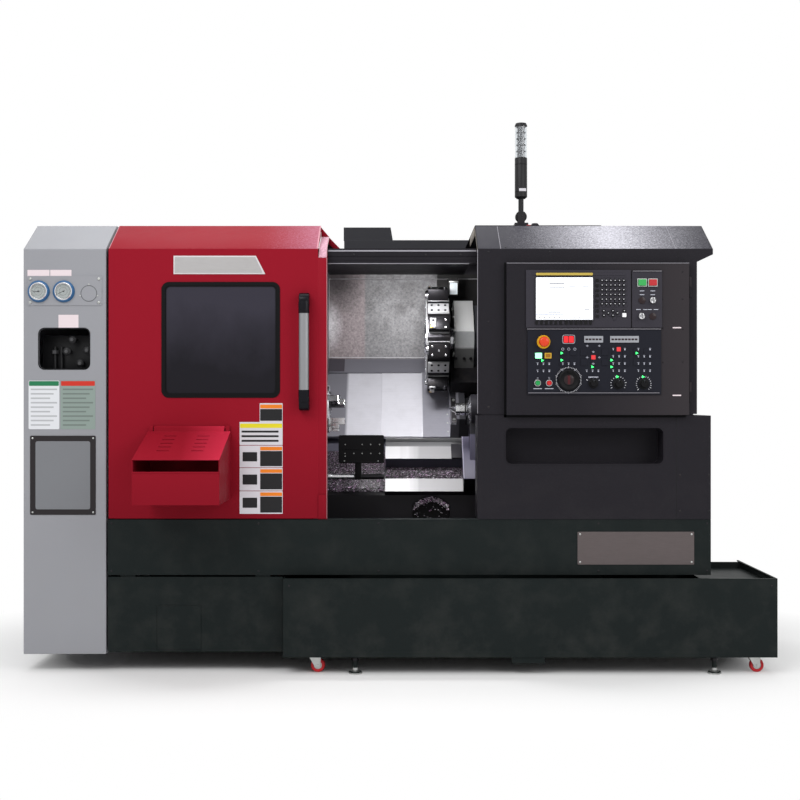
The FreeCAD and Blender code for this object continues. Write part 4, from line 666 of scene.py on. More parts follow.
class Work:
    """One piece in the making: a mesh in millimetres and the names of its finishes."""

    def __init__(self, name):
        self.name = name
        self.mesh = bmesh.new()
        self.finishes = []

    def keep(self, part, finish, place=UP, smooth=True):
        """Adds a finished bmesh at its place, with the finish of that name."""
        bmesh.ops.transform(part, matrix=place, verts=part.verts)
        bmesh.ops.recalc_face_normals(part, faces=part.faces)
        if finish not in self.finishes:
            self.finishes.append(finish)
        for face in part.faces:
            face.material_index = self.finishes.index(finish)
            face.smooth = smooth
        scratch = bpy.data.meshes.new("scratch")
        part.to_mesh(scratch)
        part.free()
        self.mesh.from_mesh(scratch)
        bpy.data.meshes.remove(scratch)

    def boxes(self, finish, rows, place=UP):
        """Blocks of one finish, each from its two corners and the radius of its edges."""
        for row in rows:
            self.keep(box(*row), finish, place)

    def finish(self, body, slot_name, replaced=()):
        """Turns the work into an object in metres that rides on its body."""
        bmesh.ops.scale(self.mesh, vec=(MM, MM, MM), verts=self.mesh.verts)
        mesh = bpy.data.meshes.new(self.name)
        self.mesh.to_mesh(mesh)
        self.mesh.free()
        for name in self.finishes:
            mesh.materials.append(finish_of(name))
        mesh.set_sharp_from_angle(angle=math.radians(32))
        piece = bpy.data.objects.new(self.name, mesh)
        bpy.context.scene.collection.objects.link(piece)
        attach(piece, body)
        if replaced:
            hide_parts(*replaced)
        return piece


def rounded(part, edges, radius, steps=2):
    bmesh.ops.bevel(part, geom=list(edges), offset=radius, offset_type="OFFSET", segments=steps, profile=0.5,
                    affect="EDGES", material=-1, clamp_overlap=True)


def box(x0, x1, y0, y1, z0, z1, edge=0.0, steps=2):
    """Block between two corners with all edges rounded."""
    part = bmesh.new()
    bmesh.ops.create_cube(part, size=1.0)
    bmesh.ops.scale(part, vec=(x1 - x0, y1 - y0, z1 - z0), verts=part.verts)
    bmesh.ops.translate(part, vec=((x0 + x1) / 2, (y0 + y1) / 2, (z0 + z1) / 2), verts=part.verts)
    if edge:
        rounded(part, part.edges, edge, steps)
    return part


def plate(x0, x1, z0, z1, y0, y1, corner, edge=0.0, steps=5):
    """Upright plate facing the front with rounded corners and an eased front edge."""
    part = box(x0, x1, y0, y1, z0, z1)
    if corner:
        upright = [e for e in part.edges if abs(e.verts[0].co.y - e.verts[1].co.y) > 1e-6]
        rounded(part, upright, corner, steps)
    if edge:
        front = [e for e in part.edges if all(abs(v.co.y - y0) < 1e-6 for v in e.verts)]
        rounded(part, front, edge, 2)
    return part


def rim_frame(x0, x1, z0, z1, front, back, corner, wide):
    """Rounded gasket: a plate whose middle is taken out."""
    part = plate(x0, x1, z0, z1, front, back, corner, 0, 10)
    faces = [f for f in part.faces if abs(f.normal.y) > 0.9]
    bmesh.ops.inset_individual(part, faces=faces, thickness=wide, use_even_offset=True)
    inner = [f for f in part.faces if abs(f.normal.y) > 0.9 and len(f.verts) > 8]
    inner.sort(key=lambda f: f.calc_center_median().y)
    bmesh.ops.bridge_loops(part, edges=[e for f in inner for e in f.edges])
    bmesh.ops.delete(part, geom=inner, context="FACES_ONLY")
    return part


def turned(profile, steps=32):
    """Round body about local Z from (radius, height) pairs; ends on the axis are closed."""
    part = bmesh.new()
    points = [part.verts.new((radius, 0, height)) for radius, height in profile]
    edges = [part.edges.new(pair) for pair in zip(points, points[1:])]
    bmesh.ops.spin(part, geom=points + edges, cent=(0, 0, 0), axis=(0, 0, 1), dvec=(0, 0, 0),
                   angle=math.tau, steps=steps, use_merge=True, use_duplicate=False)
    bmesh.ops.remove_doubles(part, verts=part.verts, dist=1e-4)
    return part


def rod(radius, length, edge=0.0, steps=32):
    """Closed round bar along local Z with an eased far end."""
    if edge:
        return turned([(0, 0), (radius, 0), (radius, length - edge),
                       (radius - 0.3 * edge, length - 0.3 * edge),
                       (radius - edge, length), (0, length)], steps)
    return turned([(0, 0), (radius, 0), (radius, length), (0, length)], steps)


def ring(inner, outer, height, edge=0.0, steps=40):
    """Flat ring about local Z."""
    e = edge
    return turned([(inner, 0), (outer, 0), (outer, height - e), (outer - e, height), (inner + e, height),
                   (inner, height - e), (inner, 0)], steps)


def prism(points, y0, y1, edge=0.0):
    """Front-facing outline of (x, z) points given a depth from y0 back to y1."""
    part = bmesh.new()
    face = part.faces.new([part.verts.new((x, y0, z)) for x, z in points])
    grown = bmesh.ops.extrude_face_region(part, geom=[face])
    moved = [g for g in grown["geom"] if isinstance(g, bmesh.types.BMVert)]
    bmesh.ops.translate(part, vec=(0, y1 - y0, 0), verts=moved)
    if edge:
        rounded(part, part.edges, edge, 2)
    return part


def cap_screw(radius, height):
    """Socket-head screw standing on local Z with its hexagon recess."""
    part = turned([(0, 0), (radius, 0), (radius, height * 0.86), (radius * 0.9, height),
                   (radius * 0.55, height)],
                  20)
    rim = [e for e in part.edges if e.is_boundary]
    made = bmesh.ops.extrude_edge_only(part, edges=rim)
    verts = [g for g in made["geom"] if isinstance(g, bmesh.types.BMVert)]
    bmesh.ops.translate(part, vec=(0, 0, -height * 0.55), verts=verts)
    lower = [e for e in part.edges if e.is_boundary]
    bmesh.ops.contextual_create(part, geom=lower)
    return part


def button_screw(radius, height):
    """Low round-head screw with a round dimple pressed in."""
    return turned([(0, 0), (radius, 0), (radius * 0.94, height * 0.5), (radius * 0.7, height * 0.9),
                   (radius * 0.3, height), (radius * 0.22, height * 0.5), (0, height * 0.45)], 16)


def hexagon(across, height):
    part = turned([(0, 0), (across / 1.732, 0), (across / 1.732, height), (0, height)], 6)
    return part


def dress(node, finish):
    """Gives a CAD node its finish in place of the plain slot colour."""
    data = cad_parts[node].data
    if not data.materials:
        data.materials.append(None)
    for index in range(len(data.materials)):
        data.materials[index] = finish_of(finish)


def eased(node, radius):
    """Rounds the folded edges of a CAD cover a little, so that they catch the light."""
    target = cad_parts[node]
    weld = target.modifiers.new("Weld", "WELD")
    weld.merge_threshold = 0.00005
    bevel = target.modifiers.new("Eased edges", "BEVEL")
    bevel.width = radius * MM
    bevel.segments = 2
    bevel.limit_method = "ANGLE"
    bevel.angle_limit = math.radians(30)
    bevel.harden_normals = False


def front_screws(work, spots, y, radius, finish, out=1.6):
    """Round-head screws on a face that looks to the front."""
    for x, z in spots:
        work.keep(button_screw(radius, out), finish, facing(x, y, z))


def cover_screws(work, spots, y, out=1.6):
    """The small screws of the covers, where they are wanted."""
    if size_settings().show_cover_screws:
        front_screws(work, spots, y, size_settings().screw_head / MM / 2, "black_steel", out)


def corners(x0, x1, z0, z1, inset):
    """Four places inside the corners of a plate."""
    return [(x, z) for x in (x0 + inset, x1 - inset) for z in (z0 + inset, z1 - inset)]


def picture_x(px, depth=0.0):
    """Place along X of a pixel column of the photograph, for something that far behind the front plane."""
    return (px - PICTURE_MIDDLE_X) * PIXEL_MM * (CAMERA_DISTANCE + depth) / CAMERA_DISTANCE


def picture_z(py, depth=0.0):
    """Height of a pixel row of the photograph, for something that far behind the front plane."""
    return CAMERA_Z + (PICTURE_MIDDLE_Y - py) * PIXEL_MM * (CAMERA_DISTANCE + depth) / CAMERA_DISTANCE


def pictured(pixels):
    """Left, right, foot and top on the front plane of a patch given by its pixels: left, right, top, foot."""
    left, right, top, foot = pixels
    return picture_x(left), picture_x(right), picture_z(foot), picture_z(top)


PICTURE_MIDDLE_X = 398.5
PICTURE_MIDDLE_Y = 400.0
PIXEL_MM = 4.0
CAMERA_DISTANCE = 5000.0
CAMERA_Z = 1088.0
CAMERA_X = 6.0


# ---------------------------------------------------------------- finishes of the CAD nodes
class LATHE_OT_finishes(bpy.types.Operator):
    """Gives every CAD node the finish of its material slot and eases the covers' edges"""
    bl_idname = "lathe.finishes"
    bl_label = "Finishes"

    def execute(self, context):
        for name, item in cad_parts.items():
            data = item.data
            slots = [m.name if m else "" for m in data.materials]
            for index, label in enumerate(slots):
                key = label.split(".")[0]
                if key not in SLOT_FINISHES:
                    raise RuntimeError("no finish for slot " + label + " of " + name)
                data.materials[index] = finish_of(key)
        dress("headstock_guard", "guard steel")
        dress("slant_bed", "bed casting")
        dress("saddle", "dark cover steel")
        dress("cross_slide", "black_steel")
        dress("parts_box_lid", "lid paint")
        dress("operator_panel", "panel paint")
        edge = size_settings().sheet_edge / MM
        for node in ("left_end_cover", "sliding_door", "right_cover", "right_lower_cover", "front_tray",
                     "kick_panel", "coolant_tank", "parts_box", "parts_box_lid", "operator_panel",
                     "electrical_cabinet", "cabinet_door"):
            eased(node, edge)
        return {"FINISHED"}


# ---------------------------------------------------------------- end cover
class LATHE_OT_gauges(bpy.types.Operator):
    """Gauge plate with two pressure gauges, the blank with its seam and the valves behind the hatch"""
    bl_idname = "lathe.gauges"
    bl_label = "Gauges and valves"

    gauge_z = 1522.0
    blank_z = 1514.0
    hatch_z = (1214.0, 1372.0)
    swings = (183, 205)         # of the two needles, in degrees
    slips = ((27.5, 49.5, 269.9, 277.8), (50.3, 71.5, 269.9, 277.8), (58.5, 78.5, 314.8, 328.2))    # pixels

    def execute(self, context):
        z1 = cad("gauge_panel")[5]
        self.plate_y = COVER_FRONT - 2.5
        work = Work("gauge_plate")
        screws = "zinc_plate"
        left = COVER_X0 + 16
        right = COVER_X1 - 16
        work.keep(plate(left, right, z1 - 118, z1, self.plate_y, COVER_FRONT, 4, 0.8), "grey_paint")
        front_screws(work, [(x, z) for x in (left + 12, right - 12) for z in (z1 - 12, z1 - 106)],
                     self.plate_y, 6.5, screws, 4)
        self.blank(work, COVER_X0 + 262, screws)
        for index, swing in enumerate(self.swings):
            self.gauge(work, COVER_X0 + 62 + 100 * index, math.radians(swing))
        for slip in self.slips:
            work.keep(plate(*pictured(slip), COVER_FRONT - 0.8, COVER_FRONT, 1.5), "pale film")
        self.valves(work)
        work.finish("frame", "grey_paint", ["gauge_panel"])
        return {"FINISHED"}

    def blank(self, work, x, screws):
        """Round blanking disc, seen as a thin pressed seam, with three small screws."""
        work.keep(ring(30, 33, 0.6), "seam shade", facing(x, self.plate_y, self.blank_z))
        work.keep(rod(30, 0.5), "grey_paint", facing(x, self.plate_y, self.blank_z))
        for angle in (90, 195, 345):
            around = math.radians(angle)
            work.keep(button_screw(3.4, 2), screws,
                      facing(x + 36 * math.cos(around), self.plate_y, self.blank_z + 36 * math.sin(around)))

    def gauge(self, work, x, swing):
        """Case with a blue rim, a steel bezel, a printed dial, a needle and its glass."""
        front = facing(x, self.plate_y, self.gauge_z)
        work.keep(turned([(0, 0), (44, 0), (44, 3), (42, 8), (37, 12), (34, 12), (34, 9), (31, 9)], 64),
                  "blue rim", front)
        work.keep(ring(29.5, 35.5, 13.5, 1.5, 64), "ground_steel", front)
        work.keep(rod(30, 8, 0, 48), "dial", front)
        ink = "dial ink"
        for mark in range(27):
            around = math.radians(225 - 270 * mark / 26)
            long = 5 if mark % 5 == 0 else 2.6
            work.keep(box(-0.45, 0.45, 27 - long, 27, 8, 8.3), ink,
                      front @ Matrix.Rotation(around - math.radians(90), 4, "Z"))
        work.keep(ring(15.6, 16.3, 8.25, 0, 40), ink, front)
        needle = box(-8, 22, -0.9, 0.9, 9, 9.8)
        work.keep(needle, ink, front @ Matrix.Rotation(swing, 4, "Z"))
        work.keep(rod(3.2, 10.5, 0.8, 20), ink, front)
        work.keep(rod(29.6, 1.2, 0, 48), "dial glass", facing(x, self.plate_y - 11.5, self.gauge_z))

    def valves(self, work):
        """Manifold, four hand valves, pipes and unions in the dark behind the hatch."""
        x0, x1, (z0, z1) = COVER_X0 + 64, COVER_X0 + 262, self.hatch_z
        back = COVER_FRONT + 95
        black = "black_plastic"
        # zinc darkened as painted shade
        steel = "dull zinc"
        work.keep(box(x0 - 14, x1 + 30, back, back + 60, z0 - 20, z1 - 20, 3), black)
        for x in (x0 - 14, x1 + 10):
            work.keep(box(x, x + 20, COVER_FRONT + 3, back, z0 - 20, z0 - 4, 2), black)
        for dx, dz in ((120, 118), (98, 70), (180, 75), (152, 22)):
            place = facing(x0 + dx, back, z0 + dz)
            work.keep(rod(8, 46, 1), black, place)
            work.keep(turned([(0, 44), (14, 44), (17, 47), (17, 55), (14, 58), (8, 60), (0, 60)], 24), black, place)
            work.keep(hexagon(13, 5), steel, facing(x0 + dx, back - 59, z0 + dz))
        for x in (x0 + 40, x0 + 66):
            work.keep(rod(7, 92, 1), black, at(x, back - 12, z0 - 2))
        work.keep(hexagon(24, 14), steel, at(x0 + 40, back - 12, z0 + 62))
        lip = plate(x0 - 5, x1 + 5, z0 - 5, z1 + 5, COVER_FRONT - 1.2, COVER_FRONT, 25, 0.6, 8)
        hole = [f for f in lip.faces if f.normal.y < -0.9 and f.calc_area() > 5000]
        bmesh.ops.inset_region(lip, faces=hole, thickness=5, use_even_offset=True)
        inner = [f for f in lip.faces if abs(f.normal.y) > 0.9 and f.calc_area() > 5000]
        bmesh.ops.delete(lip, geom=inner, context="FACES")
        work.keep(lip, "rubber")


class LATHE_OT_end_cover_trim(bpy.types.Operator):
    """Sheets of film, the bare square plate and the vent hoods of the end cover"""
    bl_idname = "lathe.end_cover_trim"
    bl_label = "End cover trim"

    # pixels of the pieces
    films = {"left film": (28.6, 59.4, 380.6, 429.2), "right film": (60.6, 95.4, 380.6, 429.2)}
    bare_plate = (30.2, 95.8, 435.7, 514.8)

    def execute(self, context):
        work = Work("end_cover_trim")
        for film, pixels in self.films.items():
            self.sheet_of_film(work, film, *pictured(pixels))
        x0, x1, z0, z1 = pictured(self.bare_plate)
        work.keep(plate(x0, x1, z0, z1, COVER_FRONT - 2.0, COVER_FRONT, 5, 0.8), "plate edge")
        work.keep(plate(x0 + 22, x1 - 22, z0 + 22, z1 - 22, COVER_FRONT - 2.8, COVER_FRONT - 1.9, 8, 0.4),
                  "plate field")
        front_screws(work, corners(x0, x1, z0, z1, 10), COVER_FRONT - 2.0, 3.6, "zinc_plate")
        self.back_details(work)
        work.finish("frame", "grey_paint")
        return {"FINISHED"}

    def sheet_of_film(self, work, film, x0, x1, z0, z1):
        """Sheet of film with a coloured head band and nine faint ruled fields."""
        work.keep(plate(x0, x1, z0, z1, COVER_FRONT - 0.8, COVER_FRONT, 5), film)
        work.keep(plate(x0 + 2, x1 - 2, z1 - 21, z1 - 2, COVER_FRONT - 1.1, COVER_FRONT - 0.7, 3), film + " head")
        step = (z1 - z0 - 34) / 9
        for index in range(9):
            z = z1 - 32 - index * step
            work.keep(box(x0 + 9, x1 - 9 - 14 * (index % 3), COVER_FRONT - 1.0, COVER_FRONT - 0.7, z - 6, z),
                      film + " rule")

    def back_details(self, work):
        """Hoods over the vent slots on the left side."""
        for index in range(5):
            y = SPINDLE_Y + index * 60 - 3
            work.keep(box(COVER_X0 - 5, COVER_X0, y, y + 10, 896, 1204, 1.5), "grey_paint")


# ---------------------------------------------------------------- sliding door
class LATHE_OT_door(bpy.types.Operator):
    """Window pane and gasket, the bare strip, film fields, closing lip and brow end of the sliding door"""
    bl_idname = "lathe.door"
    bl_label = "Door"

    window = (-948.0, -474.0, 1097.0, 1560.0)
    # pixels of the bare strip and the lower guide, and of the film fields' columns and rows
    strip_at = (173.6, 265.4, 255.8, 274.2)
    guide_at = (318.2, 326.5, 494.5, 518)
    columns = (239.6, 260.2, 282.6)
    rows = ((445.6, 467.4), (468.0, 490.6), (491.2, 513.8))

    def execute(self, context):
        work = Work("door_window_pane")
        x0, x1, z0, z1 = self.window
        pane_y = cad("door_window")[2]
        work.keep(plate(x0 - 11, x1 + 11, z0 - 11, z1 + 11, pane_y, pane_y + 6, 36, 0, 8), "tinted_glass")
        for inset, front, wide in ((0, COVER_FRONT - 2.5, 15), (10, COVER_FRONT - 0.5, 8)):
            work.keep(rim_frame(x0 + inset, x1 - inset, z0 + inset, z1 - inset, front, pane_y + 1,
                                30 - inset / 2, wide), "rubber")
        work.finish("door", "tinted_glass", ["door_window"])
        trim_work = Work("door_trim")
        self.strip(trim_work)
        self.film_fields(trim_work)
        self.seams(trim_work)
        trim_work.finish("door", "crimson_paint")
        return {"FINISHED"}

    def strip(self, work):
        """Bare brushed strip with a slanted right end and a pale border."""
        x0, x1, z0, z1 = pictured(self.strip_at)
        cut, edge = 38, 5       # slant of the right end and width of the border
        work.keep(prism([(x0, z0), (x1, z0), (x1 - cut, z1), (x0, z1)], COVER_FRONT - 2.4, COVER_FRONT, 0.6),
                  "strip rim", smooth=False)
        work.keep(prism([(x0 + edge, z0 + edge), (x1 - 2.1 * edge, z0 + edge), (x1 - cut - 0.5 * edge, z1 - edge),
                         (x0 + edge, z1 - edge)], COVER_FRONT - 3.0, COVER_FRONT - 2.3), "strip face", smooth=False)

    def film_fields(self, work):
        """Five stacked fields of film, each with a coloured head band."""
        pale = "field pale"
        dark = "field dark"
        amber = "field amber"
        y = COVER_FRONT
        left, middle, right = (picture_x(column) for column in self.columns)

        def field(x0, x1, py0, py1, tint, lift):
            work.keep(plate(x0, x1, picture_z(py1), picture_z(py0), y - lift, y, 2), tint)

        for row in ((middle - 2, right, 403.2, 422.0, pale, 0.7),
                    (middle, right - 2, 404.6, 408.4, amber, 1.0),
                    (middle, right - 2, 409.0, 420.8, dark, 1.0),
                    (left, right, 422.0, 445.0, pale, 0.7),
                    (left + 2, right - 2, 423.6, 427.9, "field yellow", 1.0)):
            field(*row)
        for py0, py1 in self.rows:
            field(left, right, py0, py1, pale, 0.7)
            field(middle, right - 2, py0 + 1.2, py0 + 4.8, amber, 1.0)
            field(middle, right - 2, py0 + 5.4, py1 - 1.2, dark, 1.0)
            field(left + 12, middle - 12, py0 + 6.5, py1 - 6.0, dark, 1.0)
        for index in range(3):
            field(left + 8, right - 16, 430.6 + 4.6 * index, 432.6 + 4.6 * index, dark, 0.95)

    def seams(self, work):
        """Closing lip of the door with its brow, red side and corner, and a lower guide; the lip's pale edges and the
        brow's light are painted highlights.
        """
        red = "crimson_paint"
        lip_x0 = DOOR_X1 - LIP
        work.keep(box(lip_x0 - 1, DOOR_X1 - 0.2, COVER_FRONT + 0.2, COVER_FRONT + 25.5, DOOR_Z0 + 1, 1661, 1.0), red)
        # pale lines painted as highlights on the lip's edges
        pale = "lip edge"
        work.keep(box(DOOR_X1 - 1.6, DOOR_X1 + 0.2, COVER_FRONT - 0.4, COVER_FRONT + 1.4, DOOR_Z0 + 4, 1656,
                      0.5), pale)
        # the brow's run
        outer = [(COVER_FRONT - 0.5, 1657), (COVER_FRONT + 44, 1703.8), (COVER_FRONT + 190, 1762)]
        slab = outer + [(y + 1, z + 3.5) for y, z in reversed(outer)]
        work.keep(prism(slab, lip_x0 + 3, DOOR_X1 - 1, 0.4), "lip brow", SWAP)
        for x in (lip_x0 + 3.6, DOOR_X1 - 1.6):
            rim = [(y - 0.4, z + 2.4) for y, z in outer] + [(y + 0.8, z + 5.0) for y, z in reversed(outer)]
            work.keep(prism(rim, x - 1.4, x + 1.0, 0.3), pale, SWAP)
        back = COVER_FRONT + 193
        work.keep(prism([(lip_x0, 1764), (DOOR_X1 - 1, 1764), (lip_x0, 1806)], back, back + 3, 0.3), red)
        side = [(COVER_FRONT + 2, 1662), (COVER_FRONT + 1, EAVE_Z - 2),
                (COVER_FRONT + 191, ROOF_Z - 3)] + outer[:0:-1]
        work.keep(prism(side, lip_x0 - 3, lip_x0 - 1, 0.3), red, SWAP)
        x0, x1, z0, z1 = pictured(self.guide_at)
        work.keep(box(x0, x1, COVER_FRONT - 4, COVER_FRONT, z0, z1, 1.5), red)


class LATHE_OT_handle(bpy.types.Operator):
    """Door handle: brushed grip between two moulded brackets"""
    bl_idname = "lathe.handle"
    bl_label = "Door handle"

    half = 20.0                 # half width of the grip and its brackets
    radius = 13.0               # of the round bar that is widened to an oval
    grip_z = (1124.0, 1436.0)

    def execute(self, context):
        x0, x1, y0, _, z0, z1 = cad("door_handle")
        x = (x0 + x1) / 2
        grip_y = y0 + self.radius
        low, high = self.grip_z
        self.oval = Matrix.Diagonal((self.half / self.radius, 1, 1, 1))
        work = Work("door_handle_grip")
        work.keep(rod(self.radius, high - low + 8, 0, 48), "silver_grip", at(x, grip_y, low - 4) @ self.oval)
        for end, inner in ((z0, low), (z1, high)):
            self.bracket(work, x, grip_y, end, inner)
        work.finish("door", "silver_grip", ["door_handle"])
        return {"FINISHED"}

    def bracket(self, work, x, grip_y, end, inner):
        """Socket round the grip that sweeps back to its foot on the door."""
        way = 1 if end > inner else -1
        socket = turned([(0, 0), (14, 0), (14, 6), (14, 40), (13, 48), (0, 50)], 32)
        turn = UP if way > 0 else HALF_TURN
        work.keep(socket, "handle plastic", at(x, grip_y, inner - way * 4, turn) @ self.oval)
        low, high = sorted((inner + way * 26, end))
        arm = box(x - self.half, x + self.half, grip_y - 9, COVER_FRONT, low, high, 0)
        outer = [e for e in arm.edges if all(v.co.y < grip_y and abs(v.co.z - end) < 1 for v in e.verts)]
        rounded(arm, outer, 30, 8)
        rounded(arm, [e for e in arm.edges if e.calc_face_angle(0) > 0.5], 3.5, 3)
        work.keep(arm, "handle plastic")


class LATHE_OT_box_trim(bpy.types.Operator):
    """Folded seam and foot tabs of the parts box"""
    bl_idname = "lathe.box_trim"
    bl_label = "Parts box trim"

    def execute(self, context):
        x0, x1, y0, _, z0, _ = cad("parts_box")
        work = Work("parts_box_trim")
        work.boxes("crimson_paint", (
            (x0 + 1, x1 - 1, y0 - 1.6, y0 + 0.5, 813, 819.5, 0.6),
            (x0 + 8, x0 + 28, COVER_FRONT - 22, COVER_FRONT, z0 - 3, z0 + 0.5, 0.8),
            (x1 - 28, x1 - 8, COVER_FRONT - 22, COVER_FRONT, z0 - 3, z0 + 0.5, 0.8)))
        work.finish("door", "crimson_paint")
        return {"FINISHED"}


# ---------------------------------------------------------------- operator panel
PANEL_Y = cad("operator_panel")[2]
FACE_Y = cad("control_face")[2]         # front of the lower face and of the key pad


class LATHE_OT_display(bpy.types.Operator):
    """Lit screen, its bar and the soft keys of the display unit"""
    bl_idname = "lathe.display"
    bl_label = "Display unit"

    screen = (546.0, 771.0, 1407.5, 1574.0)
    bar_z = (1583.0, 1592.7)
    lower_keys_z = (1388.0, 1400.0)
    right_keys_x = (783.0, 795.0)

    def execute(self, context):
        work = Work("display_parts")
        dress("display_unit", "display frame")
        y = cad("display_unit")[2]
        x0, x1, z0, z1 = self.screen
        work.keep(plate(x0 - 5, x1 + 5, z0 - 5, z1 + 4, y - 1.0, y, 4, 0.5), "bezel")
        work.keep(plate(x0, x1, z0, z1, y - 1.5, y - 0.5, 1), "screen glow")
        self.screen_fields(work, y - 1.5)
        work.keep(plate(x0, x1, *self.bar_z, y - 1.2, y, 3, 0.5), "gold bar")
        key = "soft key"
        for index in range(12):
            x = x0 + 2 + index * 19.0 + (4 if index > 5 else 0)
            work.keep(plate(x - 5, x + 6, *self.lower_keys_z, y - 3.0, y, 1.5, 0.8), key)
        for index in range(8):
            z = 1562.5 - index * 20.3
            work.keep(plate(*self.right_keys_x, z - 5.5, z + 5.5, y - 3.0, y, 1.5, 0.8), key)
        work.finish("panel", "black_plastic")
        return {"FINISHED"}

    def screen_fields(self, work, y):
        """Lines and blocks of a plain machine page."""
        x0, _, z0, _ = self.screen

        def line(a, b, c, d, tint="page grey"):
            work.keep(box(x0 + a, x0 + b, y - 0.3, y, z0 + c, z0 + d), tint)

        for block in ((52, 112, 140, 145), (52, 112, 126, 131), (128, 152, 140, 143), (180, 210, 140, 143),
                      (128, 158, 129, 132), (184, 210, 129, 132), (112, 113, 20, 160), (166, 167, 88, 160)):
            line(*block)
        for row in range(5):
            line(22, 34, 80 - row * 12, 83 - row * 12)
            line(112, 218, 84 - row * 13, 84.8 - row * 13)
        for block in ((192, 212, 38, 42), (112, 222, 24, 26), (0, 110, 18, 20.5, "page blue"), (48, 98, 27, 32)):
            line(*block)
        for index in range(5):
            line(10 + 20 * index, 16 + 20 * index, 6, 12)
            line(132 + 19 * index, 136 + 19 * index, 6, 12)


class LATHE_OT_key_pad(bpy.types.Operator):
    """Caps of the keys, with a plain printed dash on each"""
    bl_idname = "lathe.key_pad"
    bl_label = "Key pad"

    first = (808, 1562.5)       # middle of the top left key
    pitch = (17.2, 18.6)

    def execute(self, context):
        work = Work("key_caps")
        dress("key_pad", "display frame")
        y = FACE_Y
        for row in range(6):
            for column in range(6):
                self.key(work, self.first[0] + self.pitch[0] * column, self.first[1] - self.pitch[1] * row, y, 5.6)
        for x, z in ((815, 1442), (815, 1424), (833, 1433), (851, 1442), (851, 1424), (869, 1433), (896, 1442)):
            self.key(work, x, z, y, 6.2)
        work.keep(plate(888, 904, 1417, 1433, y - 2.8, y, 2, 0.8), "cap white")
        work.finish("panel", "key_plastic")
        return {"FINISHED"}

    def key(self, work, x, z, y, half):
        work.keep(turned([(0, 0), (half, 0), (half, 1.8), (half - 1.2, 2.8), (half - 2, 2.5), (0, 2.4)], 16),
                  "cap black", facing(x, y, z))
        work.keep(box(x - 2.2, x + 2.2, y - 2.9, y - 2.3, z - 1.0, z + 1.8), "cap ink")


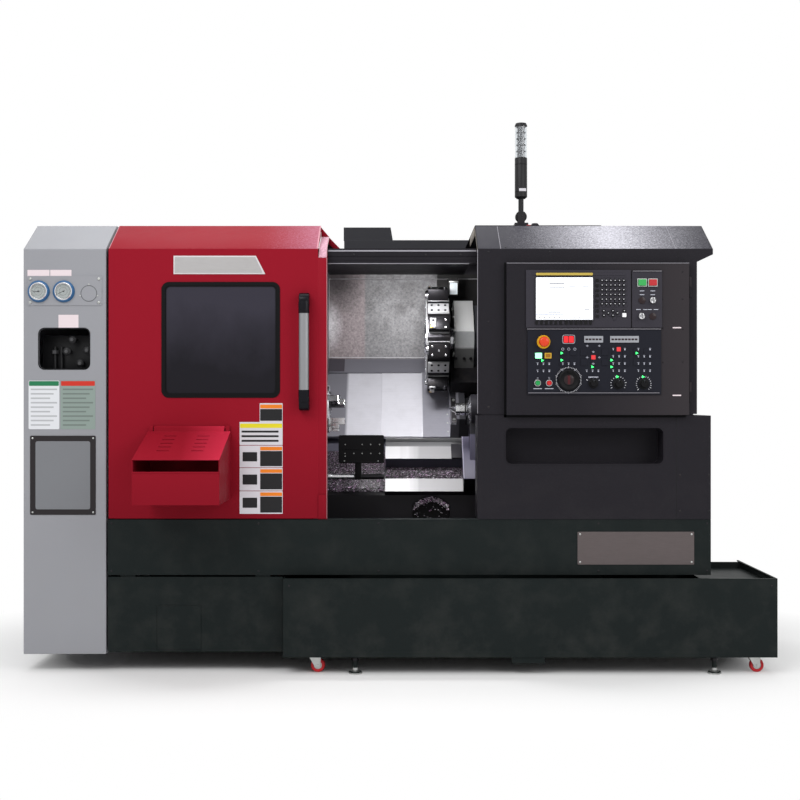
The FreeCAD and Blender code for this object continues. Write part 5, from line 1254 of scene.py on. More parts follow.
class LATHE_OT_control_face(bpy.types.Operator):
    """Film keys with their lit marks, the red readout, metal strips and dial marks of the lower face"""
    bl_idname = "lathe.control_face"
    bl_label = "Control face"

    readout_at = (650, 701, 1311, 1347)
    strips = ((737, 812, 5), (840, 954, 8))     # left, right and number of fields
    # left, top and number of rows of each block of keys
    key_blocks = ((552, 1232, 2), (652, 1232, 2), (747, 1204, 1), (852, 1290, 4), (952, 1290, 4))
    arrow_keys = ((749, 1303), (797, 1303), (773, 1279), (749, 1257), (797, 1257), (773, 1232))
    lamps_at = ((648, 1274), (648, 1246), (770, 1219), (846, 1246), (846, 1219), (946, 1274), (571, 1245),
                (869, 1180), (971, 1180))
    # middle, radius, number of ticks and sweep in degrees of each dial
    dial_rings = ((675.1, 1167.5, 47, 50, 360), (772.9, 1153.2, 25, 5, 120), (872.2, 1151.6, 27, 13, 240),
                  (973.1, 1151.6, 27, 17, 270))
    switches = ((552.3, 1155.5), (598.0, 1155.5))

    def execute(self, context):
        dress("control_face", "face sheet")
        work = Work("control_marks")
        y = FACE_Y
        ink = "face ink"
        self.readout(work, y)
        self.metal_strips(work, y)
        self.key_fields(work, y, ink)
        self.lit_keys(work, y)
        self.lamps(work, y)
        self.dials(work, y, ink)
        self.edge_strips(work, y)
        work.finish("panel", "key_plastic")
        return {"FINISHED"}

    def readout(self, work, y):
        """Two red digits' fields in a dark pane with a pale rim, over three ring marks."""
        x0, x1, z0, z1 = self.readout_at
        work.keep(plate(x0, x1, z0, z1, y - 0.6, y, 9, 0.3), "readout rim")
        work.keep(plate(x0 + 2.5, x1 - 2.5, z0 + 2.5, z1 - 2.5, y - 0.9, y - 0.5, 8, 0.2), "readout black")
        for left, right in ((x0 + 6, x0 + 23), (x0 + 26, x0 + 45)):
            work.keep(plate(left, right, z0 + 5, z1 - 6, y - 1.3, y - 0.8, 2), "readout red")
        for index in range(3):
            work.keep(ring(4.0, 5.4, 0.6, 0, 20), "face ink", facing(x0 + 2 + index * 24, y, z0 - 21))

    def metal_strips(self, work, y):
        for x0, x1, fields in self.strips:
            work.keep(plate(x0, x1, 1316, 1342, y - 1.0, y, 1.5, 0.5), "strip steel")
            step = (x1 - x0 - 8) / fields
            for index in range(fields):
                x = x0 + 5 + index * step
                work.keep(box(x, x + step - 3, y - 1.3, y - 0.9, 1325, 1332), "readout black")

    def key_fields(self, work, y, ink):
        """Legends of the film keys: a plain mark on each field."""
        for x0, top, rows in self.key_blocks:
            for row in range(rows):
                for column in range(3):
                    x, z = x0 + 23.5 * column, top - 28.5 * row
                    if rows == 4 and row == 0 and column == 1:
                        continue
                    work.boxes(ink, (
                        (x - 4.2, x + 3.6, y - 0.5, y, z + 2.6, z + 4.2),
                        (x - 1.4 - column, x + 2.0, y - 0.5, y, z - 4.6, z + 0.8)))
        for x, z in self.arrow_keys:
            work.boxes(ink, (
                (x - 5, x + 5, y - 0.5, y, z - 1, z + 1),
                (x - 1, x + 1, y - 0.5, y, z - 4, z + 4)))

    def lit_keys(self, work, y):
        """Green and amber keys on the left and two small red ones."""
        for x0, x1, z0, z1, front, back, corner, edge, finish in (
                (542.5, 569, 1253, 1275, 3.2, 0, 2, 1, "lit green"),
                (580, 607, 1253, 1275, 3.2, 0, 2, 1, "key amber"),
                (584, 603, 1257, 1271, 3.5, 3, 2, 0, "key amber deep"),
                (765, 782, 1249, 1266, 1.4, 0, 2, 0.6, "lit red"),
                (866, 882, 1281, 1298, 1.4, 0, 2, 0.6, "lit red")):
            work.keep(plate(x0, x1, z0, z1, y - front, y - back, corner, edge), finish)

    def lamps(self, work, y):
        green = "lamp green"
        for x, z in self.lamps_at:
            work.keep(turned([(0, 0), (2.6, 0), (2.2, 1.6), (0, 2.2)], 14), green, facing(x, y, z))
            glow = prism([(x - 4, z + 6), (x + 6, z), (x - 4, z - 5)], y - 0.5, y)
            work.keep(glow, green)

    def dials(self, work, y, ink):
        """Dial ticks round the knobs and the handwheel, and the marks by the key switches."""
        for x, z, radius, count, sweep in self.dial_rings:
            for index in range(count):
                share = index / (count if sweep == 360 else count - 1)
                around = math.radians(90 + sweep / 2 - sweep * share)
                long = 7 if index % 5 == 0 else 4
                place = facing(x, y, z) @ Matrix.Rotation(around, 4, "Z")
                work.keep(box(radius, radius + long, -0.9, 0.9, 0, 0.5), "dial white", place)
        for x, z in self.switches:
            work.keep(box(x - 17, x + 17, y - 0.5, y, z - 24, z - 21), ink)
            work.keep(ring(2.2, 3.2, 0.5, 0, 16), ink, facing(x, y, z + 20))
        work.keep(box(753, 793, y - 0.5, y, 1177, 1181), ink)

    def edge_strips(self, work, y):
        """Bright edge strips above and below the faces, and the screws of the two plates."""
        for x0, x1, z, front, back in ((510, 1042, 1368, y, y + 3), (515, 1036, 1114.5, y, y + 3),
                                       (430, 1156, 1630.5, PANEL_Y, PANEL_Y), (931, 1045, 1598, y, y + 3)):
            work.keep(box(x0, x1, front - 1.6, back, z, z + 3.4, 0.6), "edge strip")
        front_screws(work, [(1051, z) for z in (1598, 1488, 1374, 1238)] +
                     [(1130, z) for z in (1598, 1490, 1370, 1240)], PANEL_Y, 3.2, "black_steel")
        for z in (1373, 1104):
            work.keep(plate(1090, 1124, z, z + 5, PANEL_Y - 0.7, PANEL_Y, 1), "pale film")


class LATHE_OT_controls(bpy.types.Operator):
    """Push buttons, emergency stop, handwheel, knobs and key switches that turn and press"""
    bl_idname = "lathe.controls"
    bl_label = "Controls"

    marks = ((966.8, 1521), (1009.3, 1521), (966.8, 1506), (1009.3, 1506), (952, 1447), (980, 1447), (996, 1447),
             (1022, 1447))
    key_discs = ((966.8, 1483.4), (1009.3, 1420.2))

    def execute(self, context):
        self.emergency_stop()
        self.round_button("start_button", "start_button_body", "green_plastic")
        self.round_button("hold_button", "hold_button_body", "red_plastic")
        self.square_button("power_on_button", "power_on_body", "green_plastic")
        self.square_button("power_off_button", "power_off_body", "red_plastic")
        self.handwheel()
        for node, body in (("mode_knob", "mode_knob_body"), ("spindle_knob", "spindle_knob_body"),
                           ("feed_knob", "feed_knob_body")):
            self.knob(node, body)
        for node, body in (("upper_key", "upper_key_body"), ("lower_key", "lower_key_body")):
            self.key_switch(node, body)
        self.collars()
        return {"FINISHED"}

    def start(self, node):
        """Work, middle, front and foot of a control, from its CAD node."""
        x0, x1, y0, _, z0, z1 = cad(node)
        return Work(node + "_cap"), (x0 + x1) / 2, (z0 + z1) / 2, y0, FACE_Y

    def emergency_stop(self):
        work, x, z, front, foot = self.start("emergency_stop")
        tall = foot - front
        place = facing(x, foot, z)
        work.keep(turned([(0, 1), (14, 1), (14, tall - 16), (20, tall - 15), (20.4, tall - 9), (18, tall - 3),
                          (12, tall), (0, tall)], 48), "stop red", place)
        work.finish("stop_button_body", "red_plastic", ["emergency_stop"])
        ring_work = Work("emergency_stop_ring")
        ring_work.keep(turned([(16.5, 0), (26.5, 0), (26.5, 1.5), (22, 7), (16.5, 7)], 48), "stop amber", place)
        ring_work.finish("panel", "key_plastic")

    def round_button(self, node, body, slot_name):
        work, x, z, front, foot = self.start(node)
        tall = foot - front
        work.keep(turned([(0, 1), (9.2, 1), (9.2, tall - 1.5), (7.5, tall), (6, tall - 0.6), (0, tall - 1)], 32),
                  node + " cap", facing(x, foot, z))
        work.finish(body, slot_name, [node])

    def square_button(self, node, body, slot_name):
        work, _, _, front, foot = self.start(node)
        x0, x1, _, _, z0, z1 = cad(node)
        work.keep(plate(x0, x1, z0, z1, front, foot - 1, 2, 1.5), node + " cap")
        work.finish(body, slot_name, [node])

    def handwheel(self):
        """Black pulse wheel with a grooved rim, a bare hub plate and a spinner knob."""
        work, x, z, front, foot = self.start("handwheel")
        tall = foot - front
        black = "knob black"
        place = facing(x, foot, z)
        wide = 42.5
        work.keep(turned([(0, 1), (30, 1), (wide - 4, 4), (wide - 1, 6), (wide, 10), (wide - 2, 14),
                          (wide - 6, 16), (wide - 9, 14), (24, 12), (22, 13), (0, 13)], 64), black, place)
        for index in range(60):
            turn = Matrix.Rotation(math.tau * index / 60, 4, "Z")
            work.keep(box(wide - 0.6, wide + 0.5, -0.7, 0.7, 7, 13, 0.3), black, place @ turn)
        work.keep(rod(20, 13.6, 0.5), "readout black", place)
        work.keep(box(-5, 5, -17, 17, 13.4, 14.2, 0.3), "hub plate", place)
        knob = turned([(0, 12), (4, 12), (4, tall - 11), (6, tall - 8), (6.4, tall - 3), (4, tall), (0, tall)], 24)
        work.keep(knob, black, place @ at(0, 31, 0))
        work.finish("handwheel_body", "black_plastic", ["handwheel"])

    def knob(self, node, body):
        """Fluted knob with a white pointer line."""
        work, x, z, front, foot = self.start(node)
        tall = foot - front
        black = "knob black"
        place = facing(x, foot, z)
        wide = (cad(node)[1] - cad(node)[0]) / 2
        work.keep(turned([(0, 1), (wide, 1), (wide, 4), (wide * 0.72, 6), (wide * 0.66, tall - 2),
                          (wide * 0.58, tall), (0, tall)], 48), black, place)
        for index in range(18):
            turn = Matrix.Rotation(math.tau * index / 18, 4, "Z")
            work.keep(box(wide * 0.62, wide * 0.74, -1.2, 1.2, 5, tall - 3, 0.5), black, place @ turn)
        work.boxes("face ink", (
            (-0.8, 0.8, wide * 0.2, wide * 0.62, tall - 0.3, tall),
            (-0.9, 0.9, wide * 0.75, wide * 0.98, 3.6, 4.3)), place)
        work.finish(body, "black_plastic", [node])

    def key_switch(self, node, body):
        """Lock barrel with its key standing in it."""
        work, x, z, front, foot = self.start(node)
        x0, x1, _, _, z0, z1 = cad(node)
        steel = "ground_steel"
        place = facing(x, foot, z)
        wide = min(x1 - x0, z1 - z0) / 2
        tall = foot - front
        work.keep(turned([(0, 1), (wide, 1), (wide, 8), (wide - 2, 10), (wide - 4, 9), (0, 9)], 32), steel, place)
        work.keep(box(-1.2, 1.2, -wide + 3, wide - 3, 8, tall, 0.8), steel, place)
        work.finish(body, "ground_steel", [node])

    def collars(self):
        """Bright collars round the buttons and lock barrels, fixed to the panel."""
        work = Work("control_collars")
        for node in ("start_button", "hold_button"):
            x0, x1, _, _, z0, z1 = cad(node)
            work.keep(ring(10.6, 13.2, 2.2, 0.6), "ground_steel", facing((x0 + x1) / 2, FACE_Y, (z0 + z1) / 2))
        for node in ("power_on_button", "power_off_button"):
            x0, x1, _, _, z0, z1 = cad(node)
            frame_part = rim_frame(x0 - 4, x1 + 4, z0 - 4, z1 + 4, FACE_Y - 1.6, FACE_Y, 2, 3)
            work.keep(frame_part, "collar pale")
        for x, z in self.marks:
            work.keep(box(x - 9, x + 9, FACE_Y - 0.5, FACE_Y, z - 1.6, z + 1.6), "face ink")
        for x, z in self.key_discs:
            work.keep(rod(13.5, 0.8, 0.3), "readout black", facing(x, FACE_Y, z))
        work.finish("panel", "key_plastic")


# ---------------------------------------------------------------- work space
SWAP = Matrix(((0, 1, 0, 0), (1, 0, 0, 0), (0, 0, 1, 0), (0, 0, 0, 1)))   # outline (x, z), depth y to depth x
SLANT_RUN = SLANT @ SWAP    # outline (u, v) square to the slant, depth along X
AXIS_X = Matrix(((0, 0, 1, 0), (1, 0, 0, 0), (0, 1, 0, 0), (0, 0, 0, 1)))  # local Z to world X


def on_axis(x, y=None, z=None, turn=0.0):
    """Place of a round body about a line along X, the spindle axis unless told otherwise."""
    return at(x, SPINDLE_Y if y is None else y, SPINDLE_Z if z is None else z,
              Matrix.Rotation(turn, 4, "X") @ AXIS_X)


def arc(radius, start, end, steps):
    """Points on a circle between two angles in radians."""
    return [(radius * math.cos(start + (end - start) * i / steps),
             radius * math.sin(start + (end - start) * i / steps))
            for i in range(steps + 1)]


class LATHE_OT_chuck(bpy.types.Operator):
    """Smooth chuck with jaw slots, eased rims, screws, jaw serrations and the spindle's bright nose"""
    bl_idname = "lathe.chuck"
    bl_label = "Chuck"

    jaws = 3
    slot_half = 15.3
    slot_depth = 26.3

    def execute(self, context):
        x0, x1, y0, y1, _, _ = cad("chuck_body")
        radius = (y1 - y0) / 2
        bore = 26.0
        floor = x1 - self.slot_depth
        work = Work("chuck")
        steel = "chuck_steel"
        rear = turned([(bore, 0), (radius - 5, 0), (radius, 5), (radius, floor - x0 - 4),
                       (radius - 1.5, floor - x0 - 2.5),
                       (radius - 1.5, floor - x0), (bore, floor - x0), (bore, 0)], 72)
        work.keep(rear, steel, on_axis(x0))
        for index in range(self.jaws):
            turn = math.tau * index / self.jaws
            home = Matrix.Translation((0, SPINDLE_Y, SPINDLE_Z)) @ Matrix.Rotation(turn, 4, "X")
            work.keep(self.sector(radius, bore, x1 - floor), steel, home @ at(floor, 0, 0))
            for side in (-1, 1):
                work.keep(cap_screw(6.5, 2.5), "black_steel",
                          home @ at(x1 - 0.2, side * 42, -72, TO_RIGHT))
        work.keep(ring(bore - 2, bore + 7, 1.2, 0.4, 48), "ground_steel", on_axis(x1 - 0.4))
        work.finish("spindle_body", "chuck_steel", ("chuck_body",))
        for index in range(self.jaws):
            self.jaw(index)
        return {"FINISHED"}

    def sector(self, radius, bore, depth):
        """A third of the chuck's front, between two jaw slots; deep along X."""
        outer = math.asin(self.slot_half / radius)
        inner = math.asin(self.slot_half / bore)
        first, last = math.radians(-90), math.radians(30)
        outline = arc(radius, first + outer, last - outer, 24) + arc(bore, last - inner, first + inner, 8)
        part = prism(outline, 0, depth)
        rim = [e for e in part.edges
               if all(abs(v.co.y - depth) < 1e-6 and v.co.xz.length > radius - 0.1 for v in e.verts)]
        rounded(part, rim, 4.0, 2)
        bmesh.ops.transform(part, matrix=SWAP, verts=part.verts)
        return part

    def jaw(self, index):
        """Bevelled jaw steps, serrations at the seat and two socket screws, on the jaw's own body."""
        turn = math.tau * index / self.jaws
        name = "chuck_jaw_%d" % (index + 1)
        home = Matrix.Translation((0, SPINDLE_Y, SPINDLE_Z)) @ Matrix.Rotation(turn + math.pi, 4, "X")
        work = Work(name + "_detail")
        step_x, top_x, face_x = -262.0, cad("chuck_jaw_1")[1], cad("chuck_body")[1]
        for x, z in ((step_x, 83.0), (top_x, 53.0)):
            work.keep(cap_screw(6.0, 1.4), "black_steel", home @ at(x - 0.2, 0, z, TO_RIGHT))
        for side in (-15.0, 15.0):
            work.keep(box(face_x + 9, face_x + 11, side - 0.25, side + 0.25, 39, 97, 0.2), "black_steel", home)
            for z in (58.0, 84.0):
                work.keep(box(face_x + 12, step_x - 2, side - 0.25, side + 0.25, z, z + 1.6, 0.2),
                          "black_steel", home)
        work.finish("jaw_%d" % (index + 1), "chuck_steel")
        eased(name, 1.2)


class LATHE_OT_turret(bpy.types.Operator):
    """Turret disc with smooth hub and collar, and every holder with its screws, sleeve or tool"""
    bl_idname = "lathe.turret"
    bl_label = "Turret"

    stations = 12
    disc_radius = 185.0
    face, back = 126, 233       # of the disc, along X
    seat_x = (134, 227)         # a holder's ends

    def execute(self, context):
        _, _, y0, y1, z0, z1 = cad("turret_disc")
        self.y, self.z = (y0 + y1) / 2, (z0 + z1) / 2
        self.disc()
        self.holders()
        return {"FINISHED"}

    def disc(self):
        work = Work("turret_disc_smooth")
        dark, bright = "black_steel", "turned steel"
        middle = on_axis(0, self.y, self.z)
        corner = self.disc_radius / math.cos(math.pi / self.stations)
        start = SLOPE + math.pi / self.stations
        outline = [(corner * math.cos(start + math.tau * i / self.stations),
                    corner * math.sin(start + math.tau * i / self.stations)) for i in range(self.stations)]
        body = prism(outline, self.face, self.back, 1.2)
        home = Matrix(((0, 1, 0, 0), (1, 0, 0, self.y), (0, 0, 1, self.z), (0, 0, 0, 1)))
        work.keep(body, dark, home, False)
        lip = [(1.002 * y, 1.002 * z) for y, z in outline]
        work.keep(prism(lip, self.face - 0.4, self.face + 3.5, 0.3), "pale steel", home, False)
        work.keep(turned([(0, 118), (52, 118), (66, 119.5), (70, 123), (70, 126.4)], 64), bright, middle)
        work.keep(turned([(55, 232.6), (55, 252), (53, 254), (41, 254), (41, 232.6)], 72), bright, middle)
        work.keep(turned([(40, 253), (40, 318), (0, 318)], 48), bright, middle)
        for i in range(self.stations):
            angle = SLOPE + math.tau * (i + 0.5) / self.stations
            for reach, size in ((160.0, 6.5), (100.0, 5.0)):
                y = self.y + reach * math.cos(angle)
                z = self.z + reach * math.sin(angle)
                screw = cap_screw(size, 3.0)
                work.keep(screw, bright, on_axis(self.face + 0.2, y, z) @ HALF_TURN)
        work.finish("turret", "black_steel", ("turret_disc",))

    def holders(self):
        work = Work("tool_holders_fine")
        for i in range(self.stations):
            turn = SLOPE + math.tau * i / self.stations
            home = at(0, self.y, self.z, Matrix.Rotation(turn, 4, "X"))
            seat = self.disc_radius
            work.keep(box(132.5, 228.5, -31.5, 31.5, seat - 0.5, seat + 2.2, 0.6), "pale steel", home)
            (self.blank, self.clamp, self.sleeve)[i % 3](work, home)
        work.finish("turret", "black_steel", ("tool_holders",))

    def top_screws(self, work, home, height, half, size):
        for x in (150.0, 210.0):
            for y in (-half, half):
                work.keep(cap_screw(size, 2.6), "turned steel", home @ at(x, y, height))

    def blank(self, work, home):
        seat = self.disc_radius
        work.keep(box(*self.seat_x, -30, 30, seat, seat + 8, 1.0), "pale steel", home)
        for x in (150.0, 180.5, 211.0):
            for y in (-17.0, 17.0):
                work.keep(cap_screw(5.5, 2.6), "black_steel", home @ at(x, y, seat + 7.6))

    def clamp(self, work, home):
        seat, top = self.disc_radius, self.disc_radius + 47
        dark = "black_steel"
        work.keep(box(*self.seat_x, -27, 27, seat, top, 1.5), dark, home)
        work.boxes("pale steel", (
            (144, 164, -24, -4, top - 12, 249.5, 0.8),
            (140, 168, -1, 24, top - 0.4, top + 7, 1.0)), home)
        work.keep(box(141, 152, -25.5, -14, 246.5, 250, 0.4), "gold insert", home)
        self.top_screws(work, home, top - 0.2, 17, 5.5)
        work.keep(cap_screw(6.0, 5.0), dark, home @ at(154, 12, top + 6.6))

    def sleeve(self, work, home):
        seat, top = self.disc_radius, self.disc_radius + 55
        work.keep(box(*self.seat_x, -30, 30, seat, top, 2.0), "black_steel", home)
        lip = turned([(0, 4), (12, 4), (12, 0), (18.6, 0), (20, 1.4), (20, 13)], 40)
        work.keep(lip, "turned steel", home @ at(122, 0, seat + 23, AXIS_X))
        self.top_screws(work, home, top - 0.2, 20, 5.0)
        work.keep(cap_screw(4.5, 3.0), "turned steel", home @ at(180, 0, top - 0.2))


class LATHE_OT_slides(bpy.types.Operator):
    """Bolts and wipers on the turret housing, slides, way covers, the splash plate and the work lamp"""
    bl_idname = "lathe.slides"
    bl_label = "Slides"

    def execute(self, context):
        self.housing()
        self.covers()
        self.splash()
        return {"FINISHED"}

    def housing(self):
        work = Work("housing_bolts")
        dark, bright = "black_steel", "zinc_plate"
        left = TO_RIGHT @ HALF_TURN
        for u, v in ((372, -10), (372, 60), (420, 92), (520, 80), (600, 60), (640, 24), (400, -48), (500, -48)):
            work.keep(cap_screw(8.0, 6.0), bright, SLANT @ at(256.3, u, v, left))
        for x in (262, 300, 330):
            work.keep(cap_screw(7.0, 5.0), dark,
                      SLANT @ at(x, 330, -2, Matrix.Rotation(math.radians(88), 4, "X")))
        for x in (370, 430, 490):
            work.keep(hexagon(15, 5), dark, SLANT @ at(x, 343, 4, Matrix.Rotation(math.radians(88), 4, "X")))
        work.finish("cross_slide_body", "housing_casting")
        eased("turret_housing", 5.0)

    def covers(self):
        strip = "guard steel"
        middle = Work("middle_cover_wiper")
        middle.keep(box(-81.5, -78, 62.5, 479, -244.6, -241.2, 0.4), strip, SLANT)
        middle.finish("way_cover_body", "cover_steel")
        last = Work("saddle_cover_trim")
        last.keep(box(108.5, 112, 58.5, 481, -241.2, -237.8, 0.4), strip, SLANT)
        for u in range(90, 490, 55):
            last.keep(button_screw(4.5, 1.4), "zinc_plate", SLANT @ at(226, u, -238.5))
        last.keep(box(240.5, 300, 66, 225, -159.8, -154, 1.0), "black_steel", SLANT)
        for u in (84, 146, 208):
            last.keep(cap_screw(6.5, 5.0), "zinc_plate", SLANT @ at(252, u, -154.2))
        last.finish("carriage", "cover_steel")
        flat = Work("bed_flat")
        flat.keep(box(-59, 899, 18.5, 59, -284.5, -268, 1.0), "flat steel", SLANT)
        flat.keep(box(-59, 899, 56.5, 59, -268.5, -247.5, 0.4), "pale steel", SLANT)
        flat.keep(box(-338, 998, 483.2, 489.6, -243, -239.2, 0.4), "stainless", SLANT)
        flat.finish("frame", "ground_steel")

    def splash(self):
        """Folds, painted highlights along the edges, seam and screws of the back plate, and the painted shade on its
        slanted foot.
        """
        x0, x1, _, _, _, z1 = cad("splash_back")
        work = Work("splash_trim")
        face, fold_z, seam_x = 557.0, 1292, 187       # front of the plate, its bend and the seam on the right
        steel = "stainless"
        work.boxes(steel, (
            (x0 + 4, x1 - 4, face - 6, face + 0.2, z1 - 26, z1 - 23, 0.6),
            (x0 + 4, x1 - 4, face - 0.8, face + 0.2, fold_z - 3, fold_z, 0.3)))
        for x in (-262, -30, 180, 420, 700):
            work.keep(button_screw(5.5, 1.8), steel, facing(x, face, z1 - 13))
        # pale strips painted as highlights along the plate's edges
        for left, right, low, high in ((-341, -338.6, 1297, 1680), (-340, 250, 1294, 1297.4),
                                       (-340, 420, 1677, 1679.4)):
            work.keep(box(left, right, face - 0.9, face + 0.3, low, high, 0.3), "sheet edge")
        over = [(470.9, 1225.6), (556.0, 1288.6), (555.4, 1289.4), (470.3, 1226.4)]
        work.keep(prism(over, -338, -262, 0.0), "foot shade", SWAP)
        work.keep(box(seam_x - 0.6, seam_x + 0.6, face - 0.35, face + 0.2, fold_z, z1 - 26, 0.1), "dark seam")
        work.finish("frame", "stainless")
        self.lamp(236.0, 278.0, 307.0, 1578.0, 1659.0)

    def lamp(self, x0, x1, front, z0, z1):
        """Pane, clamp strip and screws of the work lamp."""
        lamp = Work("work_lamp")
        lamp.keep(box(x0 + 3, x1 - 3, front - 1.4, front + 0.4, z0 + 4, z1 - 22, 0.5), "lamp pane")
        lamp.keep(box(x0 - 0.8, x1 + 0.8, front - 2.0, front + 12, z1 - 20, z1 - 14, 0.8), "zinc_plate")
        for x in (x0 + 7, x1 - 7):
            lamp.keep(cap_screw(3.2, 1.6), "black_steel", facing(x, front, z1 - 7))
        lamp.finish("frame", "zinc_plate")


class LATHE_OT_tailstock(bpy.types.Operator):
    """Smooth tailstock barrel, quill and live centre, with the clamp bolts"""
    bl_idname = "lathe.tailstock"
    bl_label = "Tailstock"

    base_x, barrel_x, back_x = 285, 315, 600    # left ends of the base and barrel, and the back
    foot, deck = -259.7, -170                   # of the base, square to the slant
    bore = 42.2

    def execute(self, context):
        self.body()
        self.quill()
        self.centre()
        return {"FINISHED"}

    def body(self):
        work = Work("tailstock_smooth")
        cast = "tailstock casting"
        base = [(-257, self.foot), (-4, self.foot), (-4, self.deck), (-257, self.deck)]
        work.keep(prism(base, self.base_x, self.back_x, 3.0), cast, SLANT_RUN)
        neck = [(-150, -172), (12, -172), (20, -120), (30, -60), (36, -40), (-48, -40), (-100, -110)]
        work.keep(prism(neck, self.barrel_x, self.back_x, 3.0), cast, SLANT_RUN)
        front = on_axis(self.barrel_x)
        work.keep(turned([(self.bore, 0), (60, 0), (65, 5), (65, 280), (60, 285), (0, 285)], 64), cast, front)
        work.keep(turned([(self.bore, 265), (self.bore, 0)], 56), "turned steel", front)
        work.keep(ring(43.5, 58, 3.0, 1.0, 56), "turned steel", front @ HALF_TURN)
        for i in range(6):
            angle = math.tau * (i + 0.5) / 6
            work.keep(cap_screw(3.4, 2.4), "black_steel",
                      on_axis(self.barrel_x - 3, SPINDLE_Y + 51 * math.cos(angle),
                              SPINDLE_Z + 51 * math.sin(angle)) @ HALF_TURN)
        for x in (440, 560):
            for u in (-236, -192):
                work.keep(hexagon(22, 9), "black_steel", SLANT @ at(x, u, self.deck - 0.2))
        work.keep(box(238, self.base_x, -62, 22, -259.6, -248, 1.5), "wiper block", SLANT)
        # pale strip painted as a highlight along the base's left top edge
        work.keep(box(283.2, 286.4, -256, -5, -173.5, -169.6, 0.6), "tailstock edge", SLANT)
        work.finish("tailstock_body", "bed_casting", ("tailstock",))

    def quill(self):
        work = Work("quill_smooth")
        x0, x1 = cad("quill")[:2]
        work.keep(turned([(12.4, 46), (12.4, 0), (38, 0), (42, 4), (42, x1 - x0), (0, x1 - x0)], 64),
                  "turned steel", on_axis(x0))
        work.finish("quill_body", "ground_steel", ("quill",))

    def centre(self):
        work = Work("live_centre_smooth")
        x0 = cad("live_centre")[0]
        steel = "ground_steel"
        point = turned([(0, 0), (18, 31), (25.5, 31), (27, 32.5), (27, 50), (25.6, 51), (25.6, 56), (27, 57),
                        (27, 81), (25, 83), (20, 87), (0, 87)], 56)
        work.keep(point, steel, on_axis(x0))
        work.keep(turned([(0, 0), (12, 0), (12, 45), (0, 45)], 40), steel, on_axis(x0 + 86.5))
        work.keep(ring(20, 27.6, 6.0, 0.8, 56), "black_steel", on_axis(x0 + 72))
        work.finish("centre_body", "ground_steel", ("live_centre",))


class LATHE_OT_catcher(bpy.types.Operator):
    """Parts catcher with two rows of small bolts, a round shaft, clamp collar and rubber edge"""
    bl_idname = "lathe.catcher"
    bl_label = "Parts catcher"

    def execute(self, context):
        x0, x1 = cad("parts_catcher")[:2]
        work = Work("catcher_smooth")
        dark, bright = "black_steel", "zinc_plate"
        y, z = SPINDLE_Y - 17, 752.0                            # the shaft
        px0, px1, pz0, pz1 = -262.0, -64.0, 813.0, 935.0        # the plate
        face, joint_x = y - 33, -177
        coat = "catcher black"
        work.keep(plate(px0, px1, pz0, pz1, face, face + 6, 6.0, 0.8), coat)
        work.keep(box(-190, -164, face + 5.5, y + 12, z - 12, 840, 2.0), coat)
        work.keep(rod(12, joint_x + 1 - x0, 1.5, 40), "turned steel", on_axis(x0, y, z))
        work.keep(rod(11.9, x1 + 1 - joint_x, 1.5, 40), dark, on_axis(joint_x - 1, y, z))
        work.keep(ring(11.9, 24, 26, 1.5, 48), dark, on_axis(-336, y, z))
        bolts = ((894, (-233, -159, -122, -83)), (855, (-234, -195, -159, -121, -83)), (843, (-233,)),
                 (822, (-236, -89)))
        spots = [(x, row) for row, columns in bolts for x in columns]
        front_screws(work, spots, face + 0.1, 2.6, bright, 2.0)
        work.keep(box(px0 + 2, px1 - 2, face - 1.6, face + 0.3, pz0 + 2, pz0 + 8, 0.5), "rubber")
        work.keep(box(px0 + 12, px1 - 12, face - 0.8, face + 0.3, 873, 875, 0.3), coat)
        work.keep(cap_screw(4.0, 3.0), bright, facing(-323, y - 23.6, z))
        work.finish("catcher", "black_steel", ("parts_catcher",))
        return {"FINISHED"}


# ---------------------------------------------------------------- covers on the right, roof and tower
BROW_TILT = math.atan2(ROOF_Z - EAVE_Z, BROW_DEPTH)
BROW_BACK = COVER_FRONT + BROW_DEPTH
BROW_RUN = math.hypot(ROOF_Z - EAVE_Z, BROW_DEPTH)
ON_BROW = at(0, COVER_FRONT, EAVE_Z, Matrix.Rotation(BROW_TILT, 4, "X"))   # local Y runs up the brow


